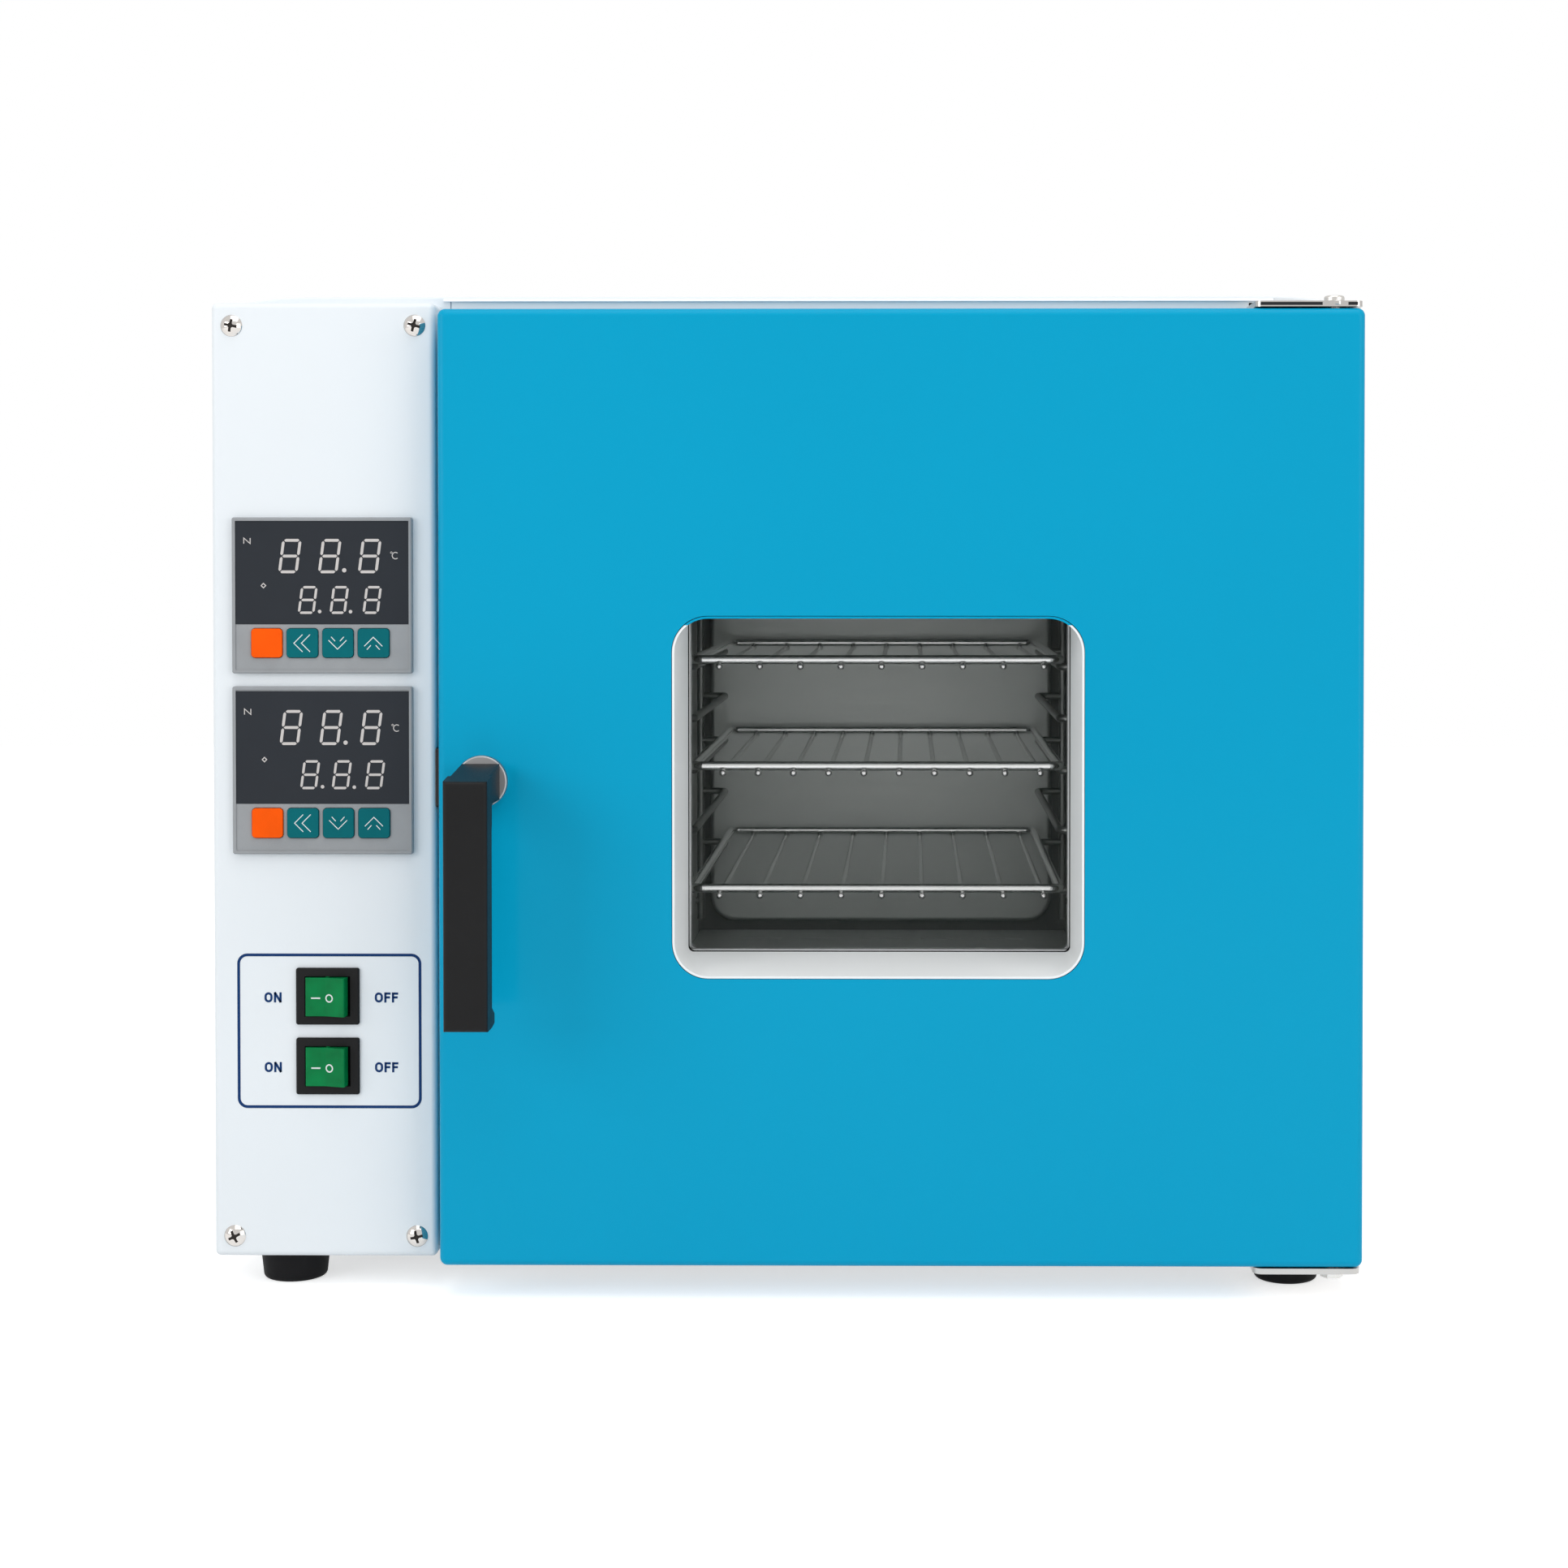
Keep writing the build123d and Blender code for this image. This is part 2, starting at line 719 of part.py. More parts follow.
def fan_motor():
    """A shaded-pole motor on the rear panel, with a bore that the shaft runs in."""
    motor = disc(fan_x, fan_z, 42, case_rear, case_rear + 3)
    motor += disc(fan_x, fan_z, 34, case_rear + 3, case_rear + 28)
    motor += disc(fan_x, fan_z, 18, case_rear - 1.3, case_rear)
    motor -= disc(fan_x, fan_z, shaft_radius + pin_clearance, case_rear - 3, case_rear + 20)
    return motor


def fan_cover():
    """A folded cover over the motor, with cooling slots in its back."""
    x0, x1 = fan_x - cover_half, fan_x + cover_half
    z0, z1 = fan_z - cover_half, fan_z + cover_half
    cover = slab(x0, x1, case_rear + 0.1, cover_rear, z0, z1)
    cover = fillet(cover.edges().filter_by(Axis.Y) + cover.faces().sort_by(Axis.Y)[-1].edges(), 5)
    cover -= slab(x0 + sheet, x1 - sheet, case_rear - 1, cover_rear - sheet, z0 + sheet, z1 - sheet)
    for row in range(9):
        z = fan_z - 60 + 15 * row
        cover -= panel(fan_x - 55, fan_x + 55, z - 2, z + 2, 1.9, cover_rear - 3, cover_rear + 1)
    return cover


def vent_tube():
    """The exhaust tube, closed by a flange with three holes and a bearing for the shutter."""
    tube = disc(vent_x, vent_z, vent_outer, liner_rear - 2, case_rear)
    tube += disc(vent_x, vent_z, 25, case_rear, case_rear + 2)
    tube -= disc(vent_x, vent_z, vent_inner, liner_rear - 3, case_rear - 0.5)
    for number in range(3):
        turn = radians(90 + 120 * number)
        x = vent_x + vent_hole_ring * cos(turn)
        z = vent_z + vent_hole_ring * sin(turn)
        tube -= disc(x, z, vent_hole_radius, case_rear - 2, case_rear + 3)
    return tube - disc(vent_x, vent_z, 2.0 + pin_clearance, case_rear - 2, case_rear + 3)


def vent_shutter():
    """The rotary shutter with its knob, open at rest."""
    shutter = disc(vent_x, vent_z, 22, case_rear + 2.3, case_rear + 4)
    shutter += disc(vent_x, vent_z, 3.2, case_rear + 4, case_rear + 14)
    grip = panel(vent_x - 9, vent_x + 9, vent_z - 3, vent_z + 3, 2.9, case_rear + 5, case_rear + 15)
    shutter += grip + disc(vent_x, vent_z, 3.2, case_rear + 3.5, case_rear + 6)
    for number in range(3):
        turn = radians(90 + 120 * number)
        x = vent_x + vent_hole_ring * cos(turn)
        z = vent_z + vent_hole_ring * sin(turn)
        shutter -= disc(x, z, vent_hole_radius, case_rear + 2, case_rear + 4.5)
    return shutter + disc(vent_x, vent_z, 2.0, case_rear - 0.4, case_rear + 3)


# Mains parts
def power_inlet():
    """A flanged mains inlet: a shrouded socket with cut corners."""
    flange = panel(inlet_x - 24, inlet_x + 24, inlet_z - 13, inlet_z + 13, 5, case_rear, case_rear + 2.5)
    body = panel(inlet_x - 14, inlet_x + 14, inlet_z - 10, inlet_z + 10, 3, case_rear - 22, case_rear + 4.5)
    well = Polyline((-12, -8), (12, -8), (12, 3.5), (7.5, 8), (-7.5, 8), (-12, 3.5), close=True)
    hollow = extrude(front_plane(inlet_x, case_rear + 6, inlet_z) * make_face(well), 24)
    inlet = flange + body - hollow
    for x in (inlet_x - 19, inlet_x + 19):
        inlet -= disc(x, inlet_z, 1.7, case_rear - 1, case_rear + 4)
    for x, z in inlet_blades:
        inlet -= slab(
            inlet_x + x - 1.05, inlet_x + x + 1.05, case_rear - 30, case_rear - 17,
            inlet_z + z - 2.05, inlet_z + z + 2.05,
        )
    return inlet


def inlet_pins():
    """Three blades that stand in the socket and their solder tags behind it."""
    pins = []
    for x, z in inlet_blades:
        pins.append(slab(
            inlet_x + x - 1, inlet_x + x + 1, case_rear - 30, case_rear - 4, inlet_z + z - 2, inlet_z + z + 2
        ))
    return Compound(children=pins)


def solid_state_relay():
    """The heater relay on its heat sink, on the partition."""
    back = fascia_right - 3
    relay = slab(back - 26, back - 10, -60, -2, 300, 345)
    sink = slab(back - 10, back - 6, -70, 8, 290, 355)
    fins = [slab(back - 6, back, y, y + 2, 290, 355) for y in range(-70, 8, 12)]
    return joined([relay, sink] + fins)


def terminal_block():
    """A screw terminal strip on the partition."""
    back = fascia_right - 3
    strip = slab(back - 16, back, 30, 110, 90, 112)
    for number in range(6):
        y = 37 + 13 * number
        strip -= rod((back - 17, y, 101), (back - 9, y, 101), 3.2)
        strip -= slab(back - 12, back - 5, y - 3, y + 3, 88, 94)
    return strip


# Door
def door_skin():
    """The painted skin: a tray with round edges, open at the back, with the window cut through it."""
    tray = slab(door_left, door_right, door_front, door_rear, door_bottom, door_top)
    tray = fillet(tray.edges().filter_by(Axis.Y) + tray.faces().sort_by(Axis.Y)[0].edges(), door_edge_radius)
    hollow = slab(
        door_left + sheet, door_right - sheet, door_front + sheet, door_rear + 1,
        door_bottom + sheet, door_top - sheet,
    )
    hollow = fillet(
        hollow.edges().filter_by(Axis.Y) + hollow.faces().sort_by(Axis.Y)[0].edges(), door_edge_radius - sheet
    )
    skin = tray - hollow - window_room(0, door_front - 1, door_front + 3)
    skin -= disc(hub_x, hub_z, spindle_radius + 0.5, door_front - 1, door_front + 3)
    skin -= slab(door_left - 1, door_left + 2, tongue_y - 0.8, tongue_y + 4.8, hub_z - 20, hub_z + 6.5)
    for z in (door_bottom, door_top):
        skin -= post(hinge_x, hinge_y, 6.0, z - 3, z + 3)
    return skin


def window_room(grow, y0, y1):
    """The window opening, grown on all sides, between two depths."""
    half_x = window_width / 2 + grow
    half_z = window_height / 2 + grow
    return panel(
        window_x - half_x, window_x + half_x, window_z - half_z, window_z + half_z, window_radius + grow, y0, y1
    )


def sight_room(grow, y0, y1, radius=sight_radius):
    """The sight opening at the glass, grown on all sides, between two depths."""
    half = sight_width / 2 + grow
    return panel(window_x - half, window_x + half, sight_bottom - grow, sight_top + grow, radius, y0, y1)


def window_bezel():
    """A white funnel from the round-cornered opening in the skin down to the squarer sight opening."""
    wall = 1.2
    front = door_front + 0.4
    back = glass_front - 1.0
    sight_z = (sight_bottom + sight_top) / 2
    sight_height = sight_top - sight_bottom

    def funnel(grow, y0, y1):
        mouth = front_plane(window_x, y0, window_z) * RectangleRounded(
            window_width - 2 * fit_gap - 2 * wall + 2 * grow, window_height - 2 * fit_gap - 2 * wall + 2 * grow,
            window_radius - wall + grow,
        )
        throat = front_plane(window_x, y1, sight_z) * RectangleRounded(
            sight_width + 2 * grow, sight_height + 2 * grow, sight_radius + grow
        )
        return loft([mouth, throat])

    seat = sight_room(glass_margin, back - wall, back)
    return funnel(wall, front, back) + seat - funnel(0, front, back)


def glass_sheet(front):
    """One pane."""
    return sight_room(glass_margin, front, front + glass_thickness)


def frame_ring(inner, y0, y1):
    """A ring round the sight opening, as wide as the panes."""
    return sight_room(glass_margin, y0, y1) - sight_room(inner, y0 - 1, y1 + 1)


def door_inner_panel():
    """The stainless back of the door: a flat flange with a raised plug that enters the mouth."""
    edge = sheet + 0.1
    flange = slab(
        door_left + edge, door_right - edge, door_rear - sheet, door_rear, door_bottom + edge, door_top - edge
    )
    flange = fillet(flange.edges().filter_by(Axis.Y), door_edge_radius - sheet)
    plug_back = glass_front + 2 * glass_thickness + glass_gap + sheet
    half = mouth_width / 2 - 5.5
    low, high = mouth_bottom + 6, mouth_top - 6
    plug = panel(mouth_x - half, mouth_x + half, low, high, 12, door_rear - sheet, plug_back)
    plug = fillet(plug.faces().sort_by(Axis.Y)[-1].edges(), 3)
    plug_hollow = panel(
        mouth_x - half + sheet, mouth_x + half - sheet, low + sheet, high - sheet, 12 - sheet,
        door_rear - 5, plug_back - sheet,
    )
    return flange + plug - plug_hollow - sight_room(0, door_rear, plug_back + 1)


def door_wool():
    """Wool between the skin and the inner panel, cut round the window, the latch and the hinge bushes."""
    edge = sheet + 0.5
    block = slab(
        door_left + edge, door_right - edge, door_front + edge, door_rear - sheet - 0.5,
        door_bottom + edge, door_top - edge,
    )
    block = fillet(block.edges().filter_by(Axis.Y) + block.faces().sort_by(Axis.Y)[0].edges(), 3)
    block -= window_room(4, door_front, door_rear)
    block -= disc(hub_x, hub_z, 8, door_front, tongue_y)
    block -= disc(hub_x, hub_z, tongue_reach + 1, tongue_y - 1, tongue_y + tongue_thickness + 1)
    for z in (door_bottom, door_top):
        block -= post(hinge_x, hinge_y, 7, z - 18, z + 18)
    return block


def door_gasket():
    """The silicone seal round the plug: a clip-on strip with a hollow-looking bulb."""
    half = mouth_width / 2 + 4
    low, high = mouth_bottom - 4, mouth_top + 4
    strip = panel(mouth_x - half - 8, mouth_x + half + 8, low - 8, high + 8, 22, door_rear, door_rear + 5.6)
    strip -= panel(mouth_x - half, mouth_x + half, low, high, 14, door_rear - 1, door_rear + 7)
    crown = strip.faces().sort_by(Axis.Y)[-1].edges()
    return fillet(crown, 2.4)


def hinge_bushes():
    """Two flanged bushes pressed into the top and bottom of the door."""
    bushes = []
    for z, up in ((door_top, 1), (door_bottom, -1)):
        inside = z - up * 14
        low, high = sorted((inside, z + up * 0.3))
        bush = post(hinge_x, hinge_y, 6.0, low, high)
        flange_low, flange_high = sorted((z, z + up * 0.3))
        bush += post(hinge_x, hinge_y, 7.5, flange_low, flange_high)
        bushes.append(bush - post(hinge_x, hinge_y, pin_radius + pin_clearance, low - 1, high + 1))
    return Compound(children=bushes)


# Hinges on the case
def lower_bracket_blank():
    """The space that the lower bracket takes under the base, where the right front foot clamps it."""
    low = case_bottom - bracket_thickness
    return slab(bracket_left, bracket_right, bracket_front, case_front + 34, low, case_bottom)


def hinge_brackets():
    """A dished plate above the door, with a tang through the case, and a plate below it, under the base."""
    low = door_top + 0.8
    upper = slab(bracket_left, bracket_right, bracket_front, case_front - 1, low, low + bracket_thickness)
    upper = fillet(upper.edges().filter_by(Axis.Z), 4)
    upper += slab(tang_left, tang_right, case_front - 3, case_front + 14, low, low + bracket_thickness)
    dish = slab(bracket_left + 4, hinge_x - 10, bracket_front + 4, case_front - 6, low + 1.4, low + 5)
    upper -= fillet(dish.edges().filter_by(Axis.Z), 3)
    lower = lower_bracket_blank()
    lower = fillet(lower.edges().filter_by(Axis.Z).sort_by(Axis.Y)[:2], 5)
    lower -= post(foot_x, foot_y[0], 2.6, 0, case_bottom + 1)
    hole = post(hinge_x, hinge_y, pin_radius, 0, case_top)
    return Compound(children=[upper - hole, lower - hole])


def hinge_pins():
    """Two headed pins, one down into the door and one up into it."""
    upper_low = door_top + 0.8
    head_base = upper_low + bracket_thickness
    upper = post(hinge_x, hinge_y, pin_radius, door_top - 11, head_base)
    upper += fillet(post(hinge_x, hinge_y, 5.4, head_base, head_base + 3.6).edges().sort_by(Axis.Z)[-1], 1.2)
    lower_top = case_bottom - bracket_thickness
    lower = post(hinge_x, hinge_y, pin_radius, lower_top, door_bottom + 11)
    nut = Pos(hinge_x, hinge_y, lower_top - 4) * extrude(RegularPolygon(6.0, 6), 4)
    return Compound(children=[upper, lower + nut])


def latch_keeper():
    """The steel plate on the fascia's side that the latch tongue points at."""
    plate = slab(fascia_right, fascia_right + 1.7, -198, -184, hub_z - 16, hub_z + 16)
    plate = fillet(plate.edges().filter_by(Axis.X), 2)
    return plate - slab(fascia_right + 0.5, fascia_right + 3, -197.5, -190, hub_z - 7, hub_z + 7)


# Handle
def handle_rosette():
    """The polished disc under the lever."""
    ring = disc(hub_x, hub_z, rosette_radius, door_front - rosette_thickness, door_front)
    ring = fillet(ring.edges().filter_by(GeomType.CIRCLE).sort_by(Axis.Y)[0], 1.0)
    return ring - disc(hub_x, hub_z, spindle_radius + 0.1, door_front - 6, door_front + 1)


def handle_lever():
    """A moulded lever: a square arm off the hub, a flat grip below it and a small stop at its end."""
    root = door_front - rosette_thickness - 0.5
    rear = grip_front + grip_thickness
    arm_top = hub_z + arm_height / 2
    arm_low = hub_z - arm_height / 2
    curve = 15.0
    outline = Curve() + [
        Line((grip_front, grip_bottom), (grip_front, grip_top)),
        Line((grip_front, grip_top), (root, arm_top)),
        Line((root, arm_top), (root, arm_low)),
        Line((root, arm_low), (rear + curve, arm_low)),
        ThreePointArc(
            (rear + curve, arm_low),
            (rear + curve * (1 - sin(radians(45))), arm_low - curve * (1 - cos(radians(45)))),
            (rear, arm_low - curve),
        ),
        Line((rear, arm_low - curve), (rear, grip_bottom + 10)),
        Line((rear, grip_bottom + 10), (rear + 8, grip_bottom + 6)),
        Line((rear + 8, grip_bottom + 6), (rear + 8, grip_bottom + 1)),
        Line((rear + 8, grip_bottom + 1), (rear, grip_bottom)),
        Line((rear, grip_bottom), (grip_front, grip_bottom)),
    ]
    side = Plane(origin=(hub_x - grip_width / 2, 0, 0), x_dir=(0, 1, 0), z_dir=(1, 0, 0))
    lever = extrude(side * make_face(outline), grip_width)
    trim = (grip_width - arm_width) / 2
    for left in (hub_x - grip_width / 2 - 1, hub_x + arm_width / 2):
        lever -= slab(left, left + trim + 1, rear + 1, root + 1, grip_bottom + 20, arm_top + 1)
    front_edges = lever.faces().sort_by(Axis.Y)[0].edges()
    lever = fillet(front_edges, 2.2)
    return lever - disc(hub_x, hub_z, spindle_radius, root - 8, root + 1)


def handle_spindle():
    """The shaft from the lever through the door."""
    root = door_front - rosette_thickness - 0.5
    return disc(hub_x, hub_z, spindle_radius, root - 8, tongue_y)


def latch_tongue():
    """The tongue on the spindle's inner end: it points at the keeper at rest."""
    back = tongue_y + tongue_thickness
    boss = disc(hub_x, hub_z, 8, tongue_y, back)
    tongue = slab(hub_x - tongue_reach, hub_x, tongue_y, back, hub_z - 4.5, hub_z + 4.5)
    return boss + fillet(tongue.edges().filter_by(Axis.Y).sort_by(Axis.X)[:2], 2)


def main():
    """Build every node and write it."""
    os.makedirs("parts", exist_ok=True)
    save("outer_wrap", outer_wrap())
    save("front_frame", front_frame())
    save("base_pan", base_pan())
    save("rear_panel", rear_panel())
    save("partition_wall", partition_wall())
    save("control_fascia", control_fascia())
    save("fascia_screws", fascia_screws())
    save("case_screws", case_screws())
    save("rubber_feet", rubber_feet())
    save("insulation_jacket", insulation_jacket())
    save("chamber_liner", chamber_liner())
    save("air_panels", Compound(children=[air_panel(-1), air_panel(1)]))
    save("floor_plate", floor_plate())
    save("rear_baffle", rear_baffle())
    save("shelf_racks", Compound(children=[rack_side(-1), rack_side(1)]))
    for name in shelf_levels:
        save(name, wire_shelf(name))
    save("heater_elements", heater_elements())
    save("temperature_probe", temperature_probe())
    save("fan_shaft", fan_shaft())
    save("fan_impeller", fan_impeller())
    save("fan_motor", fan_motor())
    save("fan_cover", fan_cover())
    save("vent_tube", vent_tube())
    save("vent_shutter", vent_shutter())
    save("power_inlet", power_inlet())
    save("inlet_pins", inlet_pins())
    save("solid_state_relay", solid_state_relay())
    save("terminal_block", terminal_block())
    save("controller_cases", Compound(children=[controller_case(0), controller_case(1)]))
    save("display_windows", Compound(children=[display_window(0), display_window(1)]))
    for number, place in enumerate(controller_names):
        for column, key in enumerate(key_names):
            save(f"{place}_{key}", controller_key(number, column))
    save("switch_housings", Compound(children=[switch_housing(z) for z in switch_z]))
    for place, z in zip(controller_names, switch_z):
        save(f"{place}_rocker", rocker(z))
    save("door_skin", door_skin())
    save("door_inner_panel", door_inner_panel())
    save("door_wool", door_wool())
    save("window_bezel", window_bezel())
    save("window_gasket", frame_ring(-0.6, glass_front - 1.0, glass_front))
    save("outer_glass", glass_sheet(glass_front))
    save("glass_spacer", frame_ring(-1.2, glass_front + glass_thickness, glass_front + glass_thickness + glass_gap))
    save("inner_glass", glass_sheet(glass_front + glass_thickness + glass_gap))
    save("door_gasket", door_gasket())
    save("hinge_bushes", hinge_bushes())
    save("hinge_brackets", hinge_brackets())
    save("hinge_pins", hinge_pins())
    save("latch_keeper", latch_keeper())
    save("handle_rosette", handle_rosette())
    save("handle_lever", handle_lever())
    save("handle_spindle", handle_spindle())
    save("latch_tongue", latch_tongue())


main()
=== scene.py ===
"""Finishes, lettering, display figures and small trim of a bench drying oven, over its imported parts."""
import json
from math import cos, hypot, pi, radians, sin

import bmesh
import bpy
from bpy.props import FloatProperty, FloatVectorProperty, IntProperty, PointerProperty
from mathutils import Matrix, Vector


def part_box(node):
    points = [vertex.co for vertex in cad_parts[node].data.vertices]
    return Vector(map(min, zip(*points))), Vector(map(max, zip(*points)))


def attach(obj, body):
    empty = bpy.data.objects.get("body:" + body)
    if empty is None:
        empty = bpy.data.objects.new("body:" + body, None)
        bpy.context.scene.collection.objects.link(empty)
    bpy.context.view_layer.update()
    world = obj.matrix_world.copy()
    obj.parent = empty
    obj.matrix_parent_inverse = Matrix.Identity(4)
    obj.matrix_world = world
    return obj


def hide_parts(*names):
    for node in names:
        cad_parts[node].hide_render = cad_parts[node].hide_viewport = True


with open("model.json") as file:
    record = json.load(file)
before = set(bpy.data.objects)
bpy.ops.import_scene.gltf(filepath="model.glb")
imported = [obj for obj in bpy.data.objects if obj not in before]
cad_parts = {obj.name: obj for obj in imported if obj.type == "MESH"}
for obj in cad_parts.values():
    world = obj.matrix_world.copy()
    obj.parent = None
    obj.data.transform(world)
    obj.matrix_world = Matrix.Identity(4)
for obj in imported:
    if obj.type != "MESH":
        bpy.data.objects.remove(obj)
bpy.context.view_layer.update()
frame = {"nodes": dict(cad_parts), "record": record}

bl_info = {
    "name": "Bench drying oven",
    "version": (1, 0, 0),
    "blender": (4, 5, 0),
    "location": "3D View > Sidebar > Oven",
    "description": "Finishes, display figures, lettering and small trim of a bench drying oven",
    "category": "Object",
}

MM = 0.001

# Places in millimetres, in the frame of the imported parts
FASCIA_FRONT = -199.0
DISPLAY_FRONT = -202.1
KEY_FRONT = -203.1
SWITCH_X = -246.0
SWITCH_Z = (158.3, 120.8)
ROCKER_PIVOT_Y = -199.5
ROCKER_TILT = radians(10)
ROCKER_HALF_LENGTH = 11.0
CAD_SCREW_HEAD = 11.0
SHELF_WIRES = {"top_shelf": 9, "middle_shelf": 10, "lower_shelf": 9}

# Figures of the two displays: left, right, bottom and top of each, then its decimal points
UPPER_FIGURES = (
    (-271.3, -258.5, 384.8, 403.1), (-250.0, -237.2, 384.8, 403.1), (-228.7, -215.8, 384.8, 403.1),
    (-260.9, -250.0, 363.1, 378.0), (-243.9, -233.3, 363.1, 378.0), (-226.3, -215.7, 363.1, 378.0),
)
LOWER_FIGURES = (
    (-270.9, -258.1, 293.1, 311.8), (-249.6, -236.7, 293.1, 311.8), (-228.0, -215.5, 293.1, 311.8),
    (-260.0, -249.0, 269.5, 285.0), (-243.1, -232.0, 269.5, 285.0), (-225.4, -214.2, 269.5, 285.0),
)
UPPER_POINTS = ((-235.9, 386.4), (-249.1, 364.4), (-232.6, 364.3))
LOWER_POINTS = ((-235.5, 294.4), (-247.9, 270.8), (-230.9, 270.6))
UNIT_PLACES = ((-209.2, 394.2), (-208.8, 302.2))
MODE_PLACES = ((-287.8, 402.1), (-287.8, 310.9))
LAMP_PLACES = ((-279.1, 378.2), (-278.9, 285.3))
KEY_COLUMNS = {"shift_key": -258.3, "down_key": -239.4, "up_key": -220.3}
KEY_ROWS = {"upper": 347.5, "lower": 251.4}

# Print round the switches: left, right, bottom and top of its frame, then the words
SWITCH_FRAME = (-294.0, -196.7, 98.7, 180.3)
SWITCH_FRAME_CORNER = 4.6
SWITCH_FRAME_WIDTH = 1.5
SWITCH_WORDS = {"ON": -275.6, "OFF": -214.7}
WORD_DROP = 0.8
WORD_HEIGHT = 5.4

# Small trim
CASE_FRONT = -175.0
CASE_BEAD_SPAN = (-187.0, 262.0)
CASE_BEAD_Z = 531.9
CASE_BEAD_RADIUS = 1.6
SEAM_X = -183.2
SEAM_Z = (524.5, 532.4)
SEAM_WIDTH = 0.5
GLASS_FRONT = -171.15
GLASS_BEAD_X = (-54.4, 152.4)
GLASS_BEAD_Z = (179.2, 361.0)
GLASS_BEAD_WIDTH = 0.7
GLASS_BEAD_RISE = 0.4 * MM
# Painted shade: a dark flat strip on the top hinge's front, where its channel lies in shade
CHANNEL_SHADE_PARTS = ((249.5, 282.0), (295.5, 300.5))
CHANNEL_SHADE_Z = 526.3
CHANNEL_SHADE_WIDTH = 1.6
CHANNEL_SHADE_RISE = 0.2 * MM
BOSS_X = 289.8
BOSS_Z = (525.4, 528.2)
BOSS_RADIUS = 4.6
BOSS_SET_BACK = 4.3

# Where the door's blue runs over the window surround, in metres
BLUE_LIP_FRONT = -0.2202
BLUE_LIP_BOTTOM = 0.3575

# Angles from which an edge is shown sharp
SHARP_TURNED = radians(32)
SHARP_ROLLED = radians(40)

# Sockets of a Mix node that mixes colours
MIX_FACTOR, MIX_FIRST, MIX_SECOND, MIX_RESULT = 0, 6, 7, 2

# Light: name, place, aim, size in metres and watts of each lamp
LAMPS = (
    ("key_lamp", (-2.2, -1.9, 1.1), (-0.1, -0.1, 0.25), 1.5, 21.0),
    ("fill_lamp", (2.3, -2.0, 0.7), (0.1, -0.1, 0.25), 1.8, 20.0),
    ("top_lamp", (0.15, -0.9, 2.2), (0.05, -0.15, 0.35), 1.8, 19.0),
)
WHITE_LIGHT = (1.0, 1.0, 1.0, 1.0)
WORLD_LIGHT = 0.5
FLOOR_GLOW = 0.6

# Camera, fitted to named points of the photograph
CAMERA_PLACE = (0.0650, -1.6035, 0.3894)
CAMERA_TURN = (radians(89.0), 0.0, radians(0.5))
CAMERA_LENS = 60.448
CAMERA_SHIFT = (-0.0648, -0.1106)

# Parts whose finish differs from the rest of their slot; the chamber's steel parts are lit and shaded copies of one
# stainless, the liner darker as painted shade and the floor plate, air panels and rear baffle lighter as painted
# light; the latch tongue and keeper are near-black as painted shade in the gap between fascia and door
OWN_FINISH = {
    "chamber_liner": "liner_steel",
    "floor_plate": "floor_steel",
    "air_panels": "chamber_steel",
    "rear_baffle": "chamber_steel",
    "shelf_racks": "rack_wire",
    "handle_rosette": "rosette_steel",
    "latch_tongue": "black_steel",
    "latch_keeper": "black_steel",
    "hinge_brackets": "bracket_steel",
}


class OvenColours(bpy.types.PropertyGroup):
    """Colours of the oven's finishes, as linear values"""

    white: FloatVectorProperty(
        name="White enamel", description="Case and fascia", subtype="COLOR", default=(0.835, 0.88, 0.915)
    )
    blue: FloatVectorProperty(
        name="Blue enamel", description="Door", subtype="COLOR", default=(0.0, 0.35, 0.585)
    )
    navy: FloatVectorProperty(
        name="Navy ink", description="Printed outline and words", subtype="COLOR", default=(0.004, 0.036, 0.14)
    )
    figures: FloatVectorProperty(
        name="Display figures", description="Lit figures", subtype="COLOR", default=(0.60, 0.57, 0.555)
    )
    orange: FloatVectorProperty(
        name="Orange key", description="Mode keys", subtype="COLOR", default=(1.0, 0.105, 0.0)
    )
    teal: FloatVectorProperty(
        name="Teal key", description="Arrow keys", subtype="COLOR", default=(0.0, 0.135, 0.158)
    )
    green: FloatVectorProperty(
        name="Green rocker", description="Switch rockers", subtype="COLOR", default=(0.0, 0.20, 0.055)
    )


class OvenSizes(bpy.types.PropertyGroup):
    """Sizes of the small pieces made here"""

    screw_head: FloatProperty(
        name="Screw head", description="Diameter of a fascia screw head", unit="LENGTH", default=0.0118
    )
    screw_rise: FloatProperty(
        name="Screw rise", description="Height of a fascia screw head", unit="LENGTH", default=0.0028
    )
    wire_tip: FloatProperty(
        name="Wire tip", description="Diameter of a shelf wire's rounded end", unit="LENGTH", default=0.0038
    )
    ink_rise: FloatProperty(
        name="Ink rise", description="Thickness of printed marks", unit="LENGTH", default=0.00012
    )
    screw_seed: IntProperty(
        name="Screw turn", description="Seed of the angle each screw was left at", default=4
    )


class Value:
    """A node's output that arithmetic can be written on."""

    def __init__(self, graph, socket):
        self.graph = graph
        self.socket = socket

    def work(self, operation, first, second):
        return self.graph.node("ShaderNodeMath", {"operation": operation}, {0: first, 1: second})

    def __add__(self, other):
        return self.work("ADD", self, other)

    def __radd__(self, other):
        return self.work("ADD", other, self)

    def __sub__(self, other):
        return self.work("SUBTRACT", self, other)

    def __rsub__(self, other):
        return self.work("SUBTRACT", other, self)

    def __mul__(self, other):
        return self.work("MULTIPLY", self, other)

    def __rmul__(self, other):
        return self.work("MULTIPLY", other, self)

    def __truediv__(self, other):
        return self.work("DIVIDE", self, other)

    def __lt__(self, other):
        return self.work("LESS_THAN", self, other)

    def __gt__(self, other):
        return self.work("GREATER_THAN", self, other)


